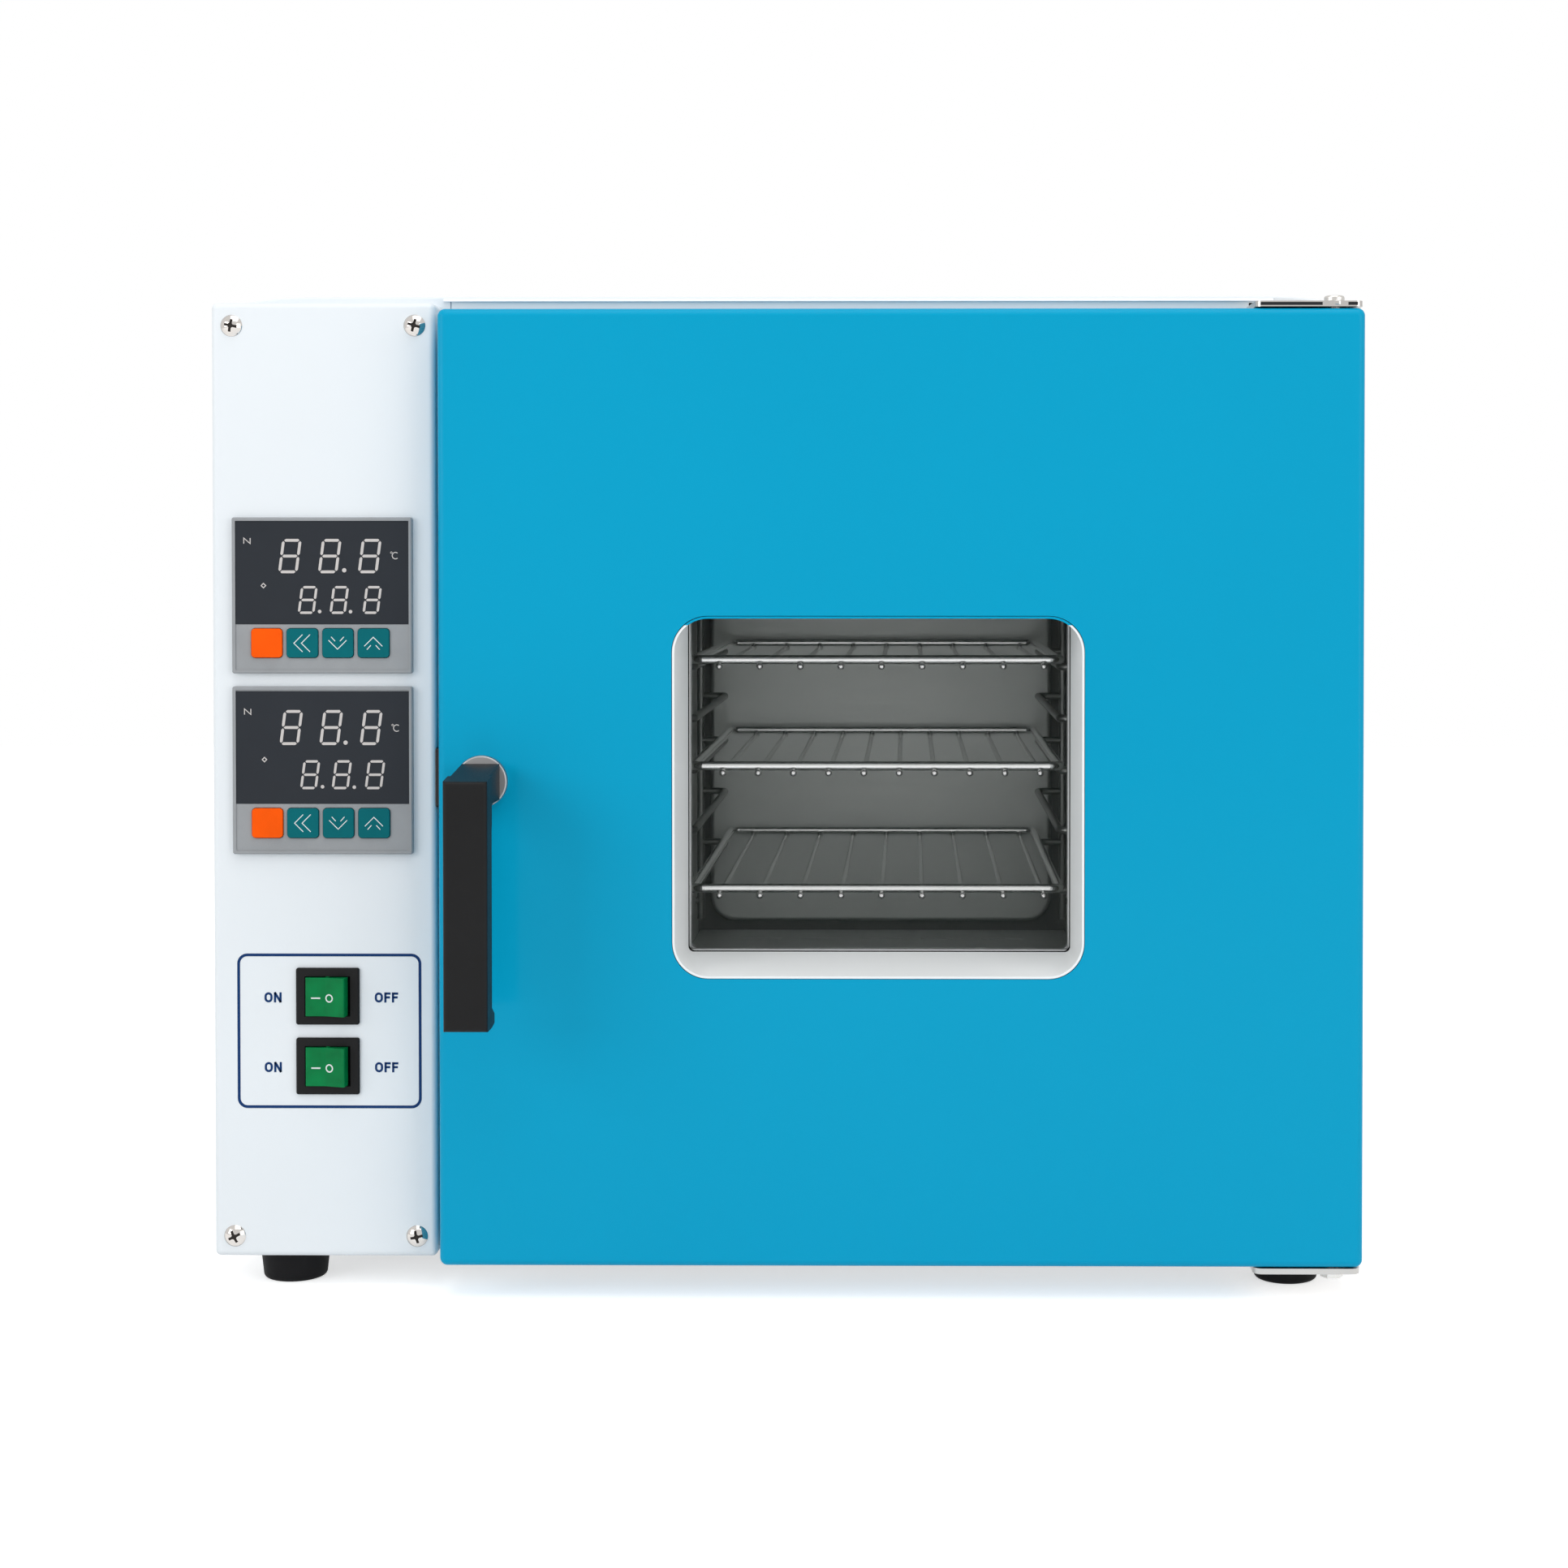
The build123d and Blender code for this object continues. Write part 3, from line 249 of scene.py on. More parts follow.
class Graph:
    """A node tree, with the one method that adds its nodes."""

    def __init__(self, tree):
        self.tree = tree

    def node(self, kind, settings=None, values=None, output=0):
        """Add a node: its settings, then the values or links of its sockets. Gives one of its outputs.

        A list of values goes into a socket that takes several links.
        """
        new = self.tree.nodes.new(kind)
        for name, setting in (settings or {}).items():
            setattr(new, name, setting)
        for name, given in (values or {}).items():
            for value in given if isinstance(given, list) else [given]:
                if isinstance(value, Value):
                    self.tree.links.new(value.socket, new.inputs[name])
                else:
                    new.inputs[name].default_value = value
        return Value(self, new.outputs[output]) if len(new.outputs) else None


class Finish(Graph):
    """A material whose pattern is read from the piece's own place."""

    def __init__(self, name):
        self.material = bpy.data.materials.new(name)
        self.material.use_nodes = True
        super().__init__(self.material.node_tree)
        self.tree.nodes.clear()
        self.place = self.node("ShaderNodeTexCoord", output="Object")

    def noise(self, scale, detail=2.0, stretch=(1.0, 1.0, 1.0)):
        """Smooth noise, about scale lumps to a metre."""
        place = self.node("ShaderNodeMapping", None, {"Vector": self.place, "Scale": stretch})
        return self.node("ShaderNodeTexNoise", None, {"Vector": place, "Scale": scale, "Detail": detail})

    def tint(self, factor, first, second):
        """A colour between two, each of them fixed or worked out."""
        ends = [end if isinstance(end, Value) else (*end, 1.0) for end in (first, second)]
        values = {MIX_FACTOR: factor, MIX_FIRST: ends[0], MIX_SECOND: ends[1]}
        return self.node("ShaderNodeMix", {"data_type": "RGBA"}, values, MIX_RESULT)

    def relief(self, height, depth):
        """A surface roughened by height, to depth in metres."""
        return self.node("ShaderNodeBump", None, {"Height": height, "Strength": 1.0, "Distance": depth})

    def shade(self, **values):
        """Close the material with one surface shader. Underscores in the names stand for spaces."""
        named = {name.replace("_", " "): value for name, value in values.items()}
        surface = self.node("ShaderNodeBsdfPrincipled", None, named)
        self.node("ShaderNodeOutputMaterial", None, {"Surface": surface})
        return self.material


def scaled(colour, factor):
    """A colour made lighter or darker."""
    return tuple(channel * factor for channel in colour)


def enamel(name, colour, roughness=0.32):
    """Baked powder paint: a faint orange peel, and tone that drifts a little over the sheet."""
    finish = Finish(name)
    drift = finish.noise(5.0, 3.0)
    peel = finish.noise(750.0, 1.0)
    speck = finish.noise(2600.0, 0.0)
    return finish.shade(
        Base_Color=finish.tint(drift, scaled(colour, 0.97), scaled(colour, 1.03)),
        Roughness=roughness + 0.08 * speck,
        Specular_IOR_Level=0.07,
        Coat_Weight=0.07,
        Coat_Roughness=0.1,
        Normal=finish.relief(peel, 0.00002),
    )


def window_enamel(name, colour, lip_colour):
    """Baked white paint of the window surround, with the door's blue run over the top of its front lip."""
    finish = Finish(name)
    drift = finish.noise(9.0, 3.0)
    peel = finish.noise(750.0, 1.0)
    forward = finish.node("ShaderNodeSeparateXYZ", None, {"Vector": finish.place}, "Y") < BLUE_LIP_FRONT
    high = finish.node("ShaderNodeSeparateXYZ", None, {"Vector": finish.place}, "Z") > BLUE_LIP_BOTTOM
    white = finish.tint(drift, scaled(colour, 0.96), colour)
    return finish.shade(
        Base_Color=finish.tint(forward * high, white, lip_colour),
        Roughness=0.34 + 0.06 * drift,
        Specular_IOR_Level=0.07,
        Normal=finish.relief(peel, 0.00002),
    )


def moulding(name, colour, roughness=0.5, grain=900.0, depth=0.00004):
    """Moulded plastic or rubber with a spark-eroded grain."""
    finish = Finish(name)
    cloud = finish.noise(60.0, 3.0)
    pits = finish.noise(grain, 2.0)
    return finish.shade(
        Base_Color=finish.tint(cloud, scaled(colour, 0.88), scaled(colour, 1.12)),
        Roughness=roughness + 0.12 * (pits - 0.5),
        Specular_IOR_Level=0.1,
        Normal=finish.relief(pits, depth),
    )


def brushed(name, colour, along=(1.0, 60.0, 60.0), roughness=0.3, streak=0.14, metallic=1.0):
    """Brushed or rolled metal sheet, its lines running along one axis."""
    finish = Finish(name)
    lines = finish.noise(14.0, 4.0, along)
    cloud = finish.noise(9.0, 3.0)
    return finish.shade(
        Base_Color=finish.tint(cloud, scaled(colour, 0.9), scaled(colour, 1.1)),
        Metallic=metallic,
        Roughness=roughness + streak * (lines - 0.5),
        Normal=finish.relief(lines, 0.00003),
    )


def bright_metal(name, colour, roughness=0.12):
    """Drawn and polished wire or a plated fastener, with faint draw marks."""
    finish = Finish(name)
    marks = finish.noise(420.0, 3.0)
    cloud = finish.noise(45.0, 2.0)
    return finish.shade(
        Base_Color=finish.tint(cloud, scaled(colour, 0.92), scaled(colour, 1.06)),
        Metallic=1.0,
        Roughness=roughness + 0.12 * marks,
        Normal=finish.relief(marks, 0.00001),
    )


def wool(name, colour):
    """Mineral wool, matted from long fibres."""
    finish = Finish(name)
    fibres = finish.noise(240.0, 6.0, (1.0, 1.0, 5.0))
    return finish.shade(
        Base_Color=finish.tint(fibres, scaled(colour, 0.6), scaled(colour, 1.25)),
        Roughness=0.95,
        Normal=finish.relief(fibres, 0.0008),
    )


def clear_glass(name, colour):
    """Clear float glass: mostly see-through, more mirror-like at a grazing look."""
    finish = Finish(name)
    edge = finish.node("ShaderNodeFresnel", None, {"IOR": 1.5})
    film = finish.noise(12.0, 4.0)
    return finish.shade(
        Base_Color=finish.tint(film, scaled(colour, 0.8), colour),
        Roughness=0.02 + 0.03 * film,
        Alpha=0.02 + 0.35 * edge,
    )


def tinted_window(name, colour):
    """The smoked window of a display, smooth with a faint haze."""
    finish = Finish(name)
    haze = finish.noise(35.0, 3.0)
    return finish.shade(
        Base_Color=finish.tint(haze, scaled(colour, 0.92), scaled(colour, 1.08)),
        Roughness=0.28 + 0.08 * haze,
        Specular_IOR_Level=0.08,
    )


def lit(name, colour, strength):
    """A lit display figure, its tone varying faintly from place to place."""
    finish = Finish(name)
    flicker = finish.noise(700.0, 1.0)
    colour_now = finish.tint(flicker, scaled(colour, 0.94), colour)
    return finish.shade(
        Base_Color=colour_now, Roughness=0.5, Specular_IOR_Level=0.1,
        Emission_Color=colour_now, Emission_Strength=strength,
    )


def ink(name, colour):
    """Screen-printed ink, slightly uneven; the same flat finish also gives the painted shade in the front frame seam
    and in the screw recesses.
    """
    finish = Finish(name)
    body = finish.noise(1500.0, 2.0)
    return finish.shade(
        Base_Color=finish.tint(body, scaled(colour, 0.9), scaled(colour, 1.1)),
        Roughness=0.45 + 0.1 * body,
        Specular_IOR_Level=0.15,
    )


def translucent_rocker(name, colour):
    """Glossy see-through plastic of a lamp switch, its tone drifting from place to place."""
    finish = Finish(name)
    depth = finish.noise(95.0, 2.0)
    return finish.shade(
        Base_Color=finish.tint(depth, scaled(colour, 0.6), scaled(colour, 1.3)),
        Roughness=0.2 + 0.06 * depth,
        Specular_IOR_Level=0.07,
        Coat_Weight=0.06,
        Coat_Roughness=0.05,
    )


def make_finishes(colours):
    """Every finish by its name in the record, and the few that only the trim uses."""
    return {
        "white_enamel": enamel("white_enamel", colours.white),
        # The surround's white is set lighter than the case's enamel, as painted light on its reveals and sill
        "white_bezel": window_enamel("white_bezel", (0.95, 0.97, 0.975), colours.blue),
        "blue_enamel": enamel("blue_enamel", colours.blue, 0.34),
        "stainless": brushed("stainless", (0.58, 0.60, 0.59), roughness=0.42, metallic=0.9),
        "bright_wire": bright_metal("bright_wire", (0.86, 0.87, 0.86)),
        "zinc_plate": brushed("zinc_plate", (0.62, 0.60, 0.57), (30.0, 30.0, 1.0), 0.28),
        "screw_steel": bright_metal("screw_steel", (0.43, 0.40, 0.38), 0.26),
        "mineral_wool": wool("mineral_wool", (0.62, 0.56, 0.40)),
        "clear_glass": clear_glass("clear_glass", (0.05, 0.07, 0.065)),
        "aluminium_spacer": brushed("aluminium_spacer", (0.70, 0.72, 0.72), (40.0, 1.0, 40.0), 0.35),
        "black_rubber": moulding("black_rubber", (0.010, 0.010, 0.011), 0.62, 500.0, 0.00006),
        "silicone": moulding("silicone", (0.45, 0.45, 0.45), 0.6),
        "black_moulding": moulding("black_moulding", (0.014, 0.014, 0.0145), 0.42),
        "grey_moulding": moulding("grey_moulding", (0.33, 0.345, 0.36), 0.45),
        "display_smoke": tinted_window("display_smoke", (0.030, 0.034, 0.041)),
        "orange_key": moulding("orange_key", colours.orange, 0.55, 1400.0, 0.00002),
        "teal_key": moulding("teal_key", colours.teal, 0.5, 1400.0, 0.00002),
        "green_rocker": translucent_rocker("green_rocker", colours.green),
        "brass_blade": bright_metal("brass_blade", (0.70, 0.55, 0.25), 0.25),
        "motor_steel": enamel("motor_steel", (0.09, 0.09, 0.10), 0.5),
        "heater_sheath": brushed("heater_sheath", (0.16, 0.14, 0.13), (40.0, 1.0, 40.0), 0.45),
        "pale_moulding": moulding("pale_moulding", (0.70, 0.70, 0.66), 0.5),
        "display_figures": lit("display_figures", colours.figures, 0.04),
        "navy_ink": ink("navy_ink", colours.navy),
        "pale_ink": ink("pale_ink", (0.75, 0.80, 0.80)),
        "seam_shadow": ink("seam_shadow", (0.20, 0.27, 0.36)),
        # Lit and shaded copies of the chamber's stainless: the liner darker as painted shade, the air panels, rear
        # baffle and floor plate lighter as painted light
        "liner_steel": brushed("liner_steel", (0.40, 0.42, 0.41), roughness=0.5, metallic=0.6),
        "chamber_steel": brushed("chamber_steel", (0.86, 0.895, 0.87), roughness=0.48, metallic=0.6),
        "floor_steel": brushed("floor_steel", (0.91, 0.94, 0.93), roughness=0.5, metallic=0.2),
        "rack_wire": bright_metal("rack_wire", (0.30, 0.31, 0.30), 0.3),
        "rosette_steel": brushed("rosette_steel", (0.33, 0.33, 0.335), (30.0, 1.0, 1.0), 0.42),
        # Near-black as painted shade: the latch parts in the gap beside the door, and the strip along the top hinge's
        # channel
        "black_steel": brushed("black_steel", (0.03, 0.03, 0.032), (30.0, 30.0, 1.0), 0.4),
        "bracket_steel": bright_metal("bracket_steel", (0.50, 0.48, 0.46), 0.16),
        "recess_shadow": ink("recess_shadow", (0.03, 0.025, 0.022)),
    }


def finish_named(name):
    """A finish made earlier by the operator for finishes."""
    if name not in bpy.data.materials:
        raise RuntimeError(f"the finish {name} isn't made yet")
    return bpy.data.materials[name]


# Raised flat marks
def on_plane(front):
    """Places a point of a mark on an upright plane that faces forward."""
    return lambda x, z, rise: Vector((x * MM, front * MM - rise, z * MM))


def on_rocker(middle_z):
    """Places a point of a mark on the shallow hollow face of a tilted rocker."""
    def place(x, z, rise):
        face = -3.4 - 1.8 * abs(x) / ROCKER_HALF_LENGTH
        y = face * MM - rise
        turned_x = x * MM * cos(ROCKER_TILT) + y * sin(ROCKER_TILT)
        turned_y = -x * MM * sin(ROCKER_TILT) + y * cos(ROCKER_TILT)
        return Vector((SWITCH_X * MM + turned_x, ROCKER_PIVOT_Y * MM + turned_y, (middle_z + z) * MM))
    return place


def stroke(points, width, closed=False):
    """The left and right edges of a line of even width, mitred at its corners."""
    count = len(points)
    left, right = [], []
    for number, (x, z) in enumerate(points):
        before = points[(number - 1) % count] if closed or number else None
        after = points[(number + 1) % count] if closed or number < count - 1 else None
        normals = []
        for start, end in ((before, (x, z)), ((x, z), after)):
            if start and end:
                dx, dz = end[0] - start[0], end[1] - start[1]
                length = hypot(dx, dz)
                normals.append((-dz / length, dx / length))
        nx = sum(n[0] for n in normals) / len(normals)
        nz = sum(n[1] for n in normals) / len(normals)
        reach = width / 2 / max(nx * nx + nz * nz, 0.2)
        left.append((x + nx * reach, z + nz * reach))
        right.append((x - nx * reach, z - nz * reach))
    return left, right, closed


def rounded(x0, x1, z0, z1, radius, steps=8):
    """A rectangle with round corners, as points."""
    points = []
    corners = ((x1 - radius, z1 - radius, 0), (x0 + radius, z1 - radius, 90),
               (x0 + radius, z0 + radius, 180), (x1 - radius, z0 + radius, 270))
    for x, z, start in corners:
        for step in range(steps + 1):
            angle = radians(start + 90 * step / steps)
            points.append((x + radius * cos(angle), z + radius * sin(angle)))
    return points


def circle(x, z, radius, steps=20, start=0.0, sweep=360.0):
    """Points on a circle or part of one."""
    last = steps if sweep == 360.0 else steps - 1
    angles = [radians(start + sweep * step / last) for step in range(steps)]
    return [(x + radius * cos(a), z + radius * sin(a)) for a in angles]


class Marks:
    """Raised flat marks that are gathered into one piece."""

    def __init__(self, place, rise, sink=0.00005):
        self.mesh = bmesh.new()
        self.place = place
        self.rise = rise
        self.sink = sink

    def corners(self, points):
        front = [self.mesh.verts.new(self.place(x, z, self.rise)) for x, z in points]
        back = [self.mesh.verts.new(self.place(x, z, -self.sink)) for x, z in points]
        return front, back

    def shape(self, points):
        """A filled outline."""
        front, back = self.corners(points)
        count = len(points)
        self.mesh.faces.new(front)
        self.mesh.faces.new(back[::-1])
        for number in range(count):
            after = (number + 1) % count
            self.mesh.faces.new((front[number], back[number], back[after], front[after]))

    def line(self, points, width, closed=False):
        """A line of even width."""
        left, right, closed = stroke(points, width, closed)
        left_front, left_back = self.corners(left)
        right_front, right_back = self.corners(right)
        count = len(points)
        for number in range(count if closed else count - 1):
            after = (number + 1) % count
            for low, high in ((right_front, left_front), (left_back, right_back),
                              (left_front, left_back), (right_back, right_front)):
                self.mesh.faces.new((low[number], low[after], high[after], high[number]))
        if not closed:
            for end in (0, count - 1):
                self.mesh.faces.new((left_front[end], left_back[end], right_back[end], right_front[end]))

    def finish(self, name, finish, body, slot):
        """Make the piece, which rides a body."""
        return closed_piece(name, self.mesh, finish, body)


def rolled_edge(name, span, front, z, radius, finish, body, steps=10):
    """A quarter-round bead along x that rolls from a plane's front up to its top."""
    angles = [pi / 2 * step / steps for step in range(steps + 1)]
    profile = [(front + 0.1, z)] + [(front - radius * cos(a), z + radius * sin(a)) for a in angles]
    profile.append((front + 0.1, z + radius))
    mesh = bmesh.new()
    ends = [[mesh.verts.new((x * MM, y * MM, height * MM)) for y, height in profile] for x in span]
    count = len(profile)
    for number in range(count):
        after = (number + 1) % count
        mesh.faces.new((ends[0][number], ends[1][number], ends[1][after], ends[0][after]))
    for end in ends:
        mesh.faces.new(end)
    return smooth_piece(name, mesh, finish, body)


def round_boss(name, middle, low, high, radius, finish, body, slot, segments=40):
    """A short upright cylinder with rounded rims."""
    mesh = bmesh.new()
    x, y = middle
    rim = 0.12 * radius
    rings = []
    for z, reach in ((low, radius - rim), (low + rim, radius), (high - rim, radius), (high, radius - rim)):
        rings.append([mesh.verts.new(((x + reach * cos(2 * pi * n / segments)) * MM,
                                      (y + reach * sin(2 * pi * n / segments)) * MM, z * MM))
                      for n in range(segments)])
    for below, above in zip(rings, rings[1:]):
        for n in range(segments):
            after = (n + 1) % segments
            mesh.faces.new((below[n], below[after], above[after], above[n]))
    mesh.faces.new(rings[0][::-1])
    mesh.faces.new(rings[-1])
    return smooth_piece(name, mesh, finish, body)


def closed_piece(name, mesh, finish, body):
    """Turn a closed mesh into a piece that rides a body."""
    bmesh.ops.recalc_face_normals(mesh, faces=mesh.faces)
    data = bpy.data.meshes.new(name)
    mesh.to_mesh(data)
    mesh.free()
    data.materials.append(finish_named(finish))
    piece = bpy.data.objects.new(name, data)
    bpy.context.scene.collection.objects.link(piece)
    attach(piece, body)
    return piece


def smooth_piece(name, mesh, finish, body):
    """A closed piece that is shaded smoothly but for its sharp edges."""
    piece = closed_piece(name, mesh, finish, body)
    for face in piece.data.polygons:
        face.use_smooth = True
    piece.data.set_sharp_from_angle(angle=SHARP_ROLLED)
    return piece


def seven_segments(marks, left, right, bottom, top, width):
    """An 8 of seven slanted segments."""
    lean = 0.13 * (top - bottom)
    inner_left, inner_right = left + width / 2, right - lean - width / 2
    low, high = bottom + width / 2, top - width / 2
    middle = (low + high) / 2
    gap, half = 0.4, width / 2

    def leaning(points):
        return [(x + lean * (z - bottom) / (top - bottom), z) for x, z in points]

    for z in (low, middle, high):
        a, b = inner_left + gap, inner_right - gap
        marks.shape(leaning([(a, z), (a + half, z + half), (b - half, z + half), (b, z), (b - half, z - half),
                             (a + half, z - half)]))
    for x in (inner_left, inner_right):
        for start, end in ((low, middle), (middle, high)):
            a, b = start + gap, end - gap
            marks.shape(leaning([(x, a), (x + half, a + half), (x + half, b - half), (x, b),
                                 (x - half, b - half), (x - half, a + half)]))


def letter(marks, sign, x, z, height, width, weight):
    """One capital of plain block lettering, its middle at x and z."""
    left, right = x - width / 2 + weight / 2, x + width / 2 - weight / 2
    low, high = z - height / 2 + weight / 2, z + height / 2 - weight / 2
    if sign == "O":
        marks.line(rounded(left, right, low, high, (right - left) / 2 - 0.01, 6), weight, True)
    if sign == "N":
        marks.line([(left, low - weight / 2), (left, high + weight / 2)], weight)
        marks.line([(right, low - weight / 2), (right, high + weight / 2)], weight)
        marks.line([(left - weight * 0.1, high + weight / 2), (right + weight * 0.1, low - weight / 2)], weight)
    if sign == "F":
        marks.line([(left, low - weight / 2), (left, high + weight / 2)], weight)
        marks.line([(left, high), (right + weight / 2, high)], weight)
        marks.line([(left, z + weight * 0.05), (right + weight / 4, z + weight * 0.05)], weight)


def word(marks, text, x, z, height):
    """Block lettering centred at x and z."""
    widths = {"O": 0.80 * height, "N": 0.76 * height, "F": 0.62 * height}
    space = 0.14 * height
    total = sum(widths[sign] for sign in text) + space * (len(text) - 1)
    start = x - total / 2
    for sign in text:
        letter(marks, sign, start + widths[sign] / 2, z, height, widths[sign], 0.215 * height)
        start += widths[sign] + space


# Pieces that repeat
def tree_with(name, inputs):
    """A Geometry Nodes tree with named inputs, and its Group Input's outputs by name."""
    tree = bpy.data.node_groups.new(name, "GeometryNodeTree")
    tree.interface.new_socket("Geometry", in_out="INPUT", socket_type="NodeSocketGeometry")
    for label, kind, default in inputs:
        socket = tree.interface.new_socket(label, in_out="INPUT", socket_type=kind)
        if default is not None:
            socket.default_value = default
    tree.interface.new_socket("Geometry", in_out="OUTPUT", socket_type="NodeSocketGeometry")
    graph = Graph(tree)
    source = tree.nodes.new("NodeGroupInput")
    given = {socket.name: Value(graph, socket) for socket in source.outputs if socket.name}
    return graph, given


def screw_tree(sizes):
    """Pan heads with a cross recess, one on each point, each left at its own angle."""
    graph, given = tree_with("Pan head screws", (
        ("Head Diameter", "NodeSocketFloat", sizes.screw_head),
        ("Head Rise", "NodeSocketFloat", sizes.screw_rise),
        ("Recess Width", "NodeSocketFloat", 0.0014),
        ("Seed", "NodeSocketInt", sizes.screw_seed),
        ("Metal", "NodeSocketMaterial", None),
        ("Recess", "NodeSocketMaterial", None),
    ))
    radius = given["Head Diameter"] / 2.0
    rise = given["Head Rise"]
    ball_radius = (radius * radius + rise * rise) / (2.0 * rise)
    ball = graph.node("GeometryNodeMeshUVSphere", None, {"Segments": 40, "Rings": 48, "Radius": ball_radius})
    drop = graph.node("ShaderNodeCombineXYZ", None, {"Z": rise - ball_radius})
    ball = graph.node("GeometryNodeTransform", None, {"Geometry": ball, "Translation": drop})
    rim = graph.node("GeometryNodeMeshCylinder", None, {"Vertices": 40, "Radius": radius * 0.985, "Depth": rise * 2.0})
    lift = graph.node("ShaderNodeCombineXYZ", None, {"Z": rise})
    rim = graph.node("GeometryNodeTransform", None, {"Geometry": rim, "Translation": lift})
    head = graph.node(
        "GeometryNodeMeshBoolean", {"operation": "INTERSECT", "solver": "EXACT"}, {"Mesh 2": [ball, rim]}
    )
    size = graph.node("ShaderNodeCombineXYZ", None, {
        "X": radius * 1.15, "Y": given["Recess Width"], "Z": rise * 1.4,
    })
    bar = graph.node("GeometryNodeMeshCube", None, {"Size": size})
    high = graph.node("ShaderNodeCombineXYZ", None, {"Z": rise * 1.05})
    first = graph.node("GeometryNodeTransform", None, {"Geometry": bar, "Translation": high})
    second = graph.node(
        "GeometryNodeTransform", None, {"Geometry": bar, "Translation": high, "Rotation": (0.0, 0.0, pi / 2)}
    )
    pit_size = graph.node("ShaderNodeCombineXYZ", None, {
        "X": given["Recess Width"] * 2.0, "Y": given["Recess Width"] * 2.0, "Z": rise * 1.5,
    })
    pit = graph.node("GeometryNodeMeshCube", None, {"Size": pit_size})
    pit = graph.node(
        "GeometryNodeTransform", None, {"Geometry": pit, "Translation": high, "Rotation": (0.0, 0.0, pi / 4)}
    )
    head = graph.node(
        "GeometryNodeMeshBoolean", {"operation": "DIFFERENCE", "solver": "EXACT"},
        {"Mesh 1": head, "Mesh 2": [first, second, pit]},
    )
    head = graph.node("GeometryNodeSetMaterial", None, {"Geometry": head, "Material": given["Metal"]})
    # Thin dark plates low in the cross recess: painted shade of the recess
    floor = []
    for shape, angle in ((size, 0.0), (size, pi / 2), (pit_size, pi / 4)):
        thin = graph.node("ShaderNodeVectorMath", {"operation": "MULTIPLY"}, {0: shape, 1: (1.0, 1.0, 0.02)})
        plate = graph.node("GeometryNodeMeshCube", None, {"Size": thin})
        low = graph.node("ShaderNodeCombineXYZ", None, {"Z": rise * (0.56 + 0.01 * len(floor))})
        floor.append(graph.node(
            "GeometryNodeTransform", None, {"Geometry": plate, "Translation": low, "Rotation": (0.0, 0.0, angle)}
        ))
    shadow = graph.node("GeometryNodeJoinGeometry", None, {"Geometry": floor})
    shadow = graph.node("GeometryNodeSetMaterial", None, {"Geometry": shadow, "Material": given["Recess"]})
    both = graph.node("GeometryNodeJoinGeometry", None, {"Geometry": [head, shadow]})
    turn = graph.node(
        "FunctionNodeRandomValue", {"data_type": "FLOAT"}, {2: 0.0, 3: pi / 2, "Seed": given["Seed"]}, 1
    )
    facing = graph.node("ShaderNodeCombineXYZ", None, {"X": pi / 2, "Y": turn})
    placed = graph.node(
        "GeometryNodeInstanceOnPoints", None,
        {"Points": given["Geometry"], "Instance": both, "Rotation": facing},
    )
    real = graph.node("GeometryNodeRealizeInstances", None, {"Geometry": placed})
    graph.node("NodeGroupOutput", None, {"Geometry": real})
    return graph.tree


def tip_tree(sizes):
    """A rounded bright end on each point of a shelf's wires."""
    graph, given = tree_with("Wire tips", (
        ("Tip Diameter", "NodeSocketFloat", sizes.wire_tip),
        ("Metal", "NodeSocketMaterial", None),
    ))
    ball = graph.node(
        "GeometryNodeMeshUVSphere", None, {"Segments": 16, "Rings": 10, "Radius": given["Tip Diameter"] / 2.0}
    )
    placed = graph.node(
        "GeometryNodeInstanceOnPoints", None,
        {"Points": given["Geometry"], "Instance": ball, "Scale": (1.0, 0.8, 1.0)},
    )
    return close_tree(graph, placed, given["Metal"])


def close_tree(graph, geometry, metal):
    """End a tree by making its instances real and giving them their material."""
    real = graph.node("GeometryNodeRealizeInstances", None, {"Geometry": geometry})
    coloured = graph.node("GeometryNodeSetMaterial", None, {"Geometry": real, "Material": metal})
    graph.node("NodeGroupOutput", None, {"Geometry": coloured})
    return graph.tree


def repeated(name, tree, points, finish, body, smooth=SHARP_TURNED):
    """Run a tree on points, keep its result as a plain mesh, and let it ride a body."""
    seed_mesh = bpy.data.meshes.new(name)
    seed_mesh.from_pydata([Vector(p) * MM for p in points], [], [])
    piece = bpy.data.objects.new(name, seed_mesh)
    bpy.context.scene.collection.objects.link(piece)
    modifier = piece.modifiers.new("repeat", "NODES")
    modifier.node_group = tree
    for socket in tree.interface.items_tree:
        if socket.name == "Metal":
            modifier[socket.identifier] = finish_named(finish)
        if socket.name == "Recess":
            modifier[socket.identifier] = finish_named("recess_shadow")
    evaluated = piece.evaluated_get(bpy.context.evaluated_depsgraph_get())
    made = bpy.data.meshes.new_from_object(evaluated)
    piece.modifiers.clear()
    piece.data = made
    made.name = name
    for face in made.polygons:
        face.use_smooth = True
    made.set_sharp_from_angle(angle=smooth)
    if not made.polygons:
        raise RuntimeError(f"{name} came out empty")
    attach(piece, body)
    return piece


class OVEN_OT_finishes(bpy.types.Operator):
    """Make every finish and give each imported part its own"""

    bl_idname = "oven.finishes"
    bl_label = "Finish the parts"

    def execute(self, context):
        made = make_finishes(context.scene.oven_colours)
        for part in frame["record"]["subparts"]:
            node = frame["nodes"][part["node"]]
            node.data.materials.clear()
            node.data.materials.append(made[OWN_FINISH.get(part["node"], part["material_slot"])])
        return {"FINISHED"}


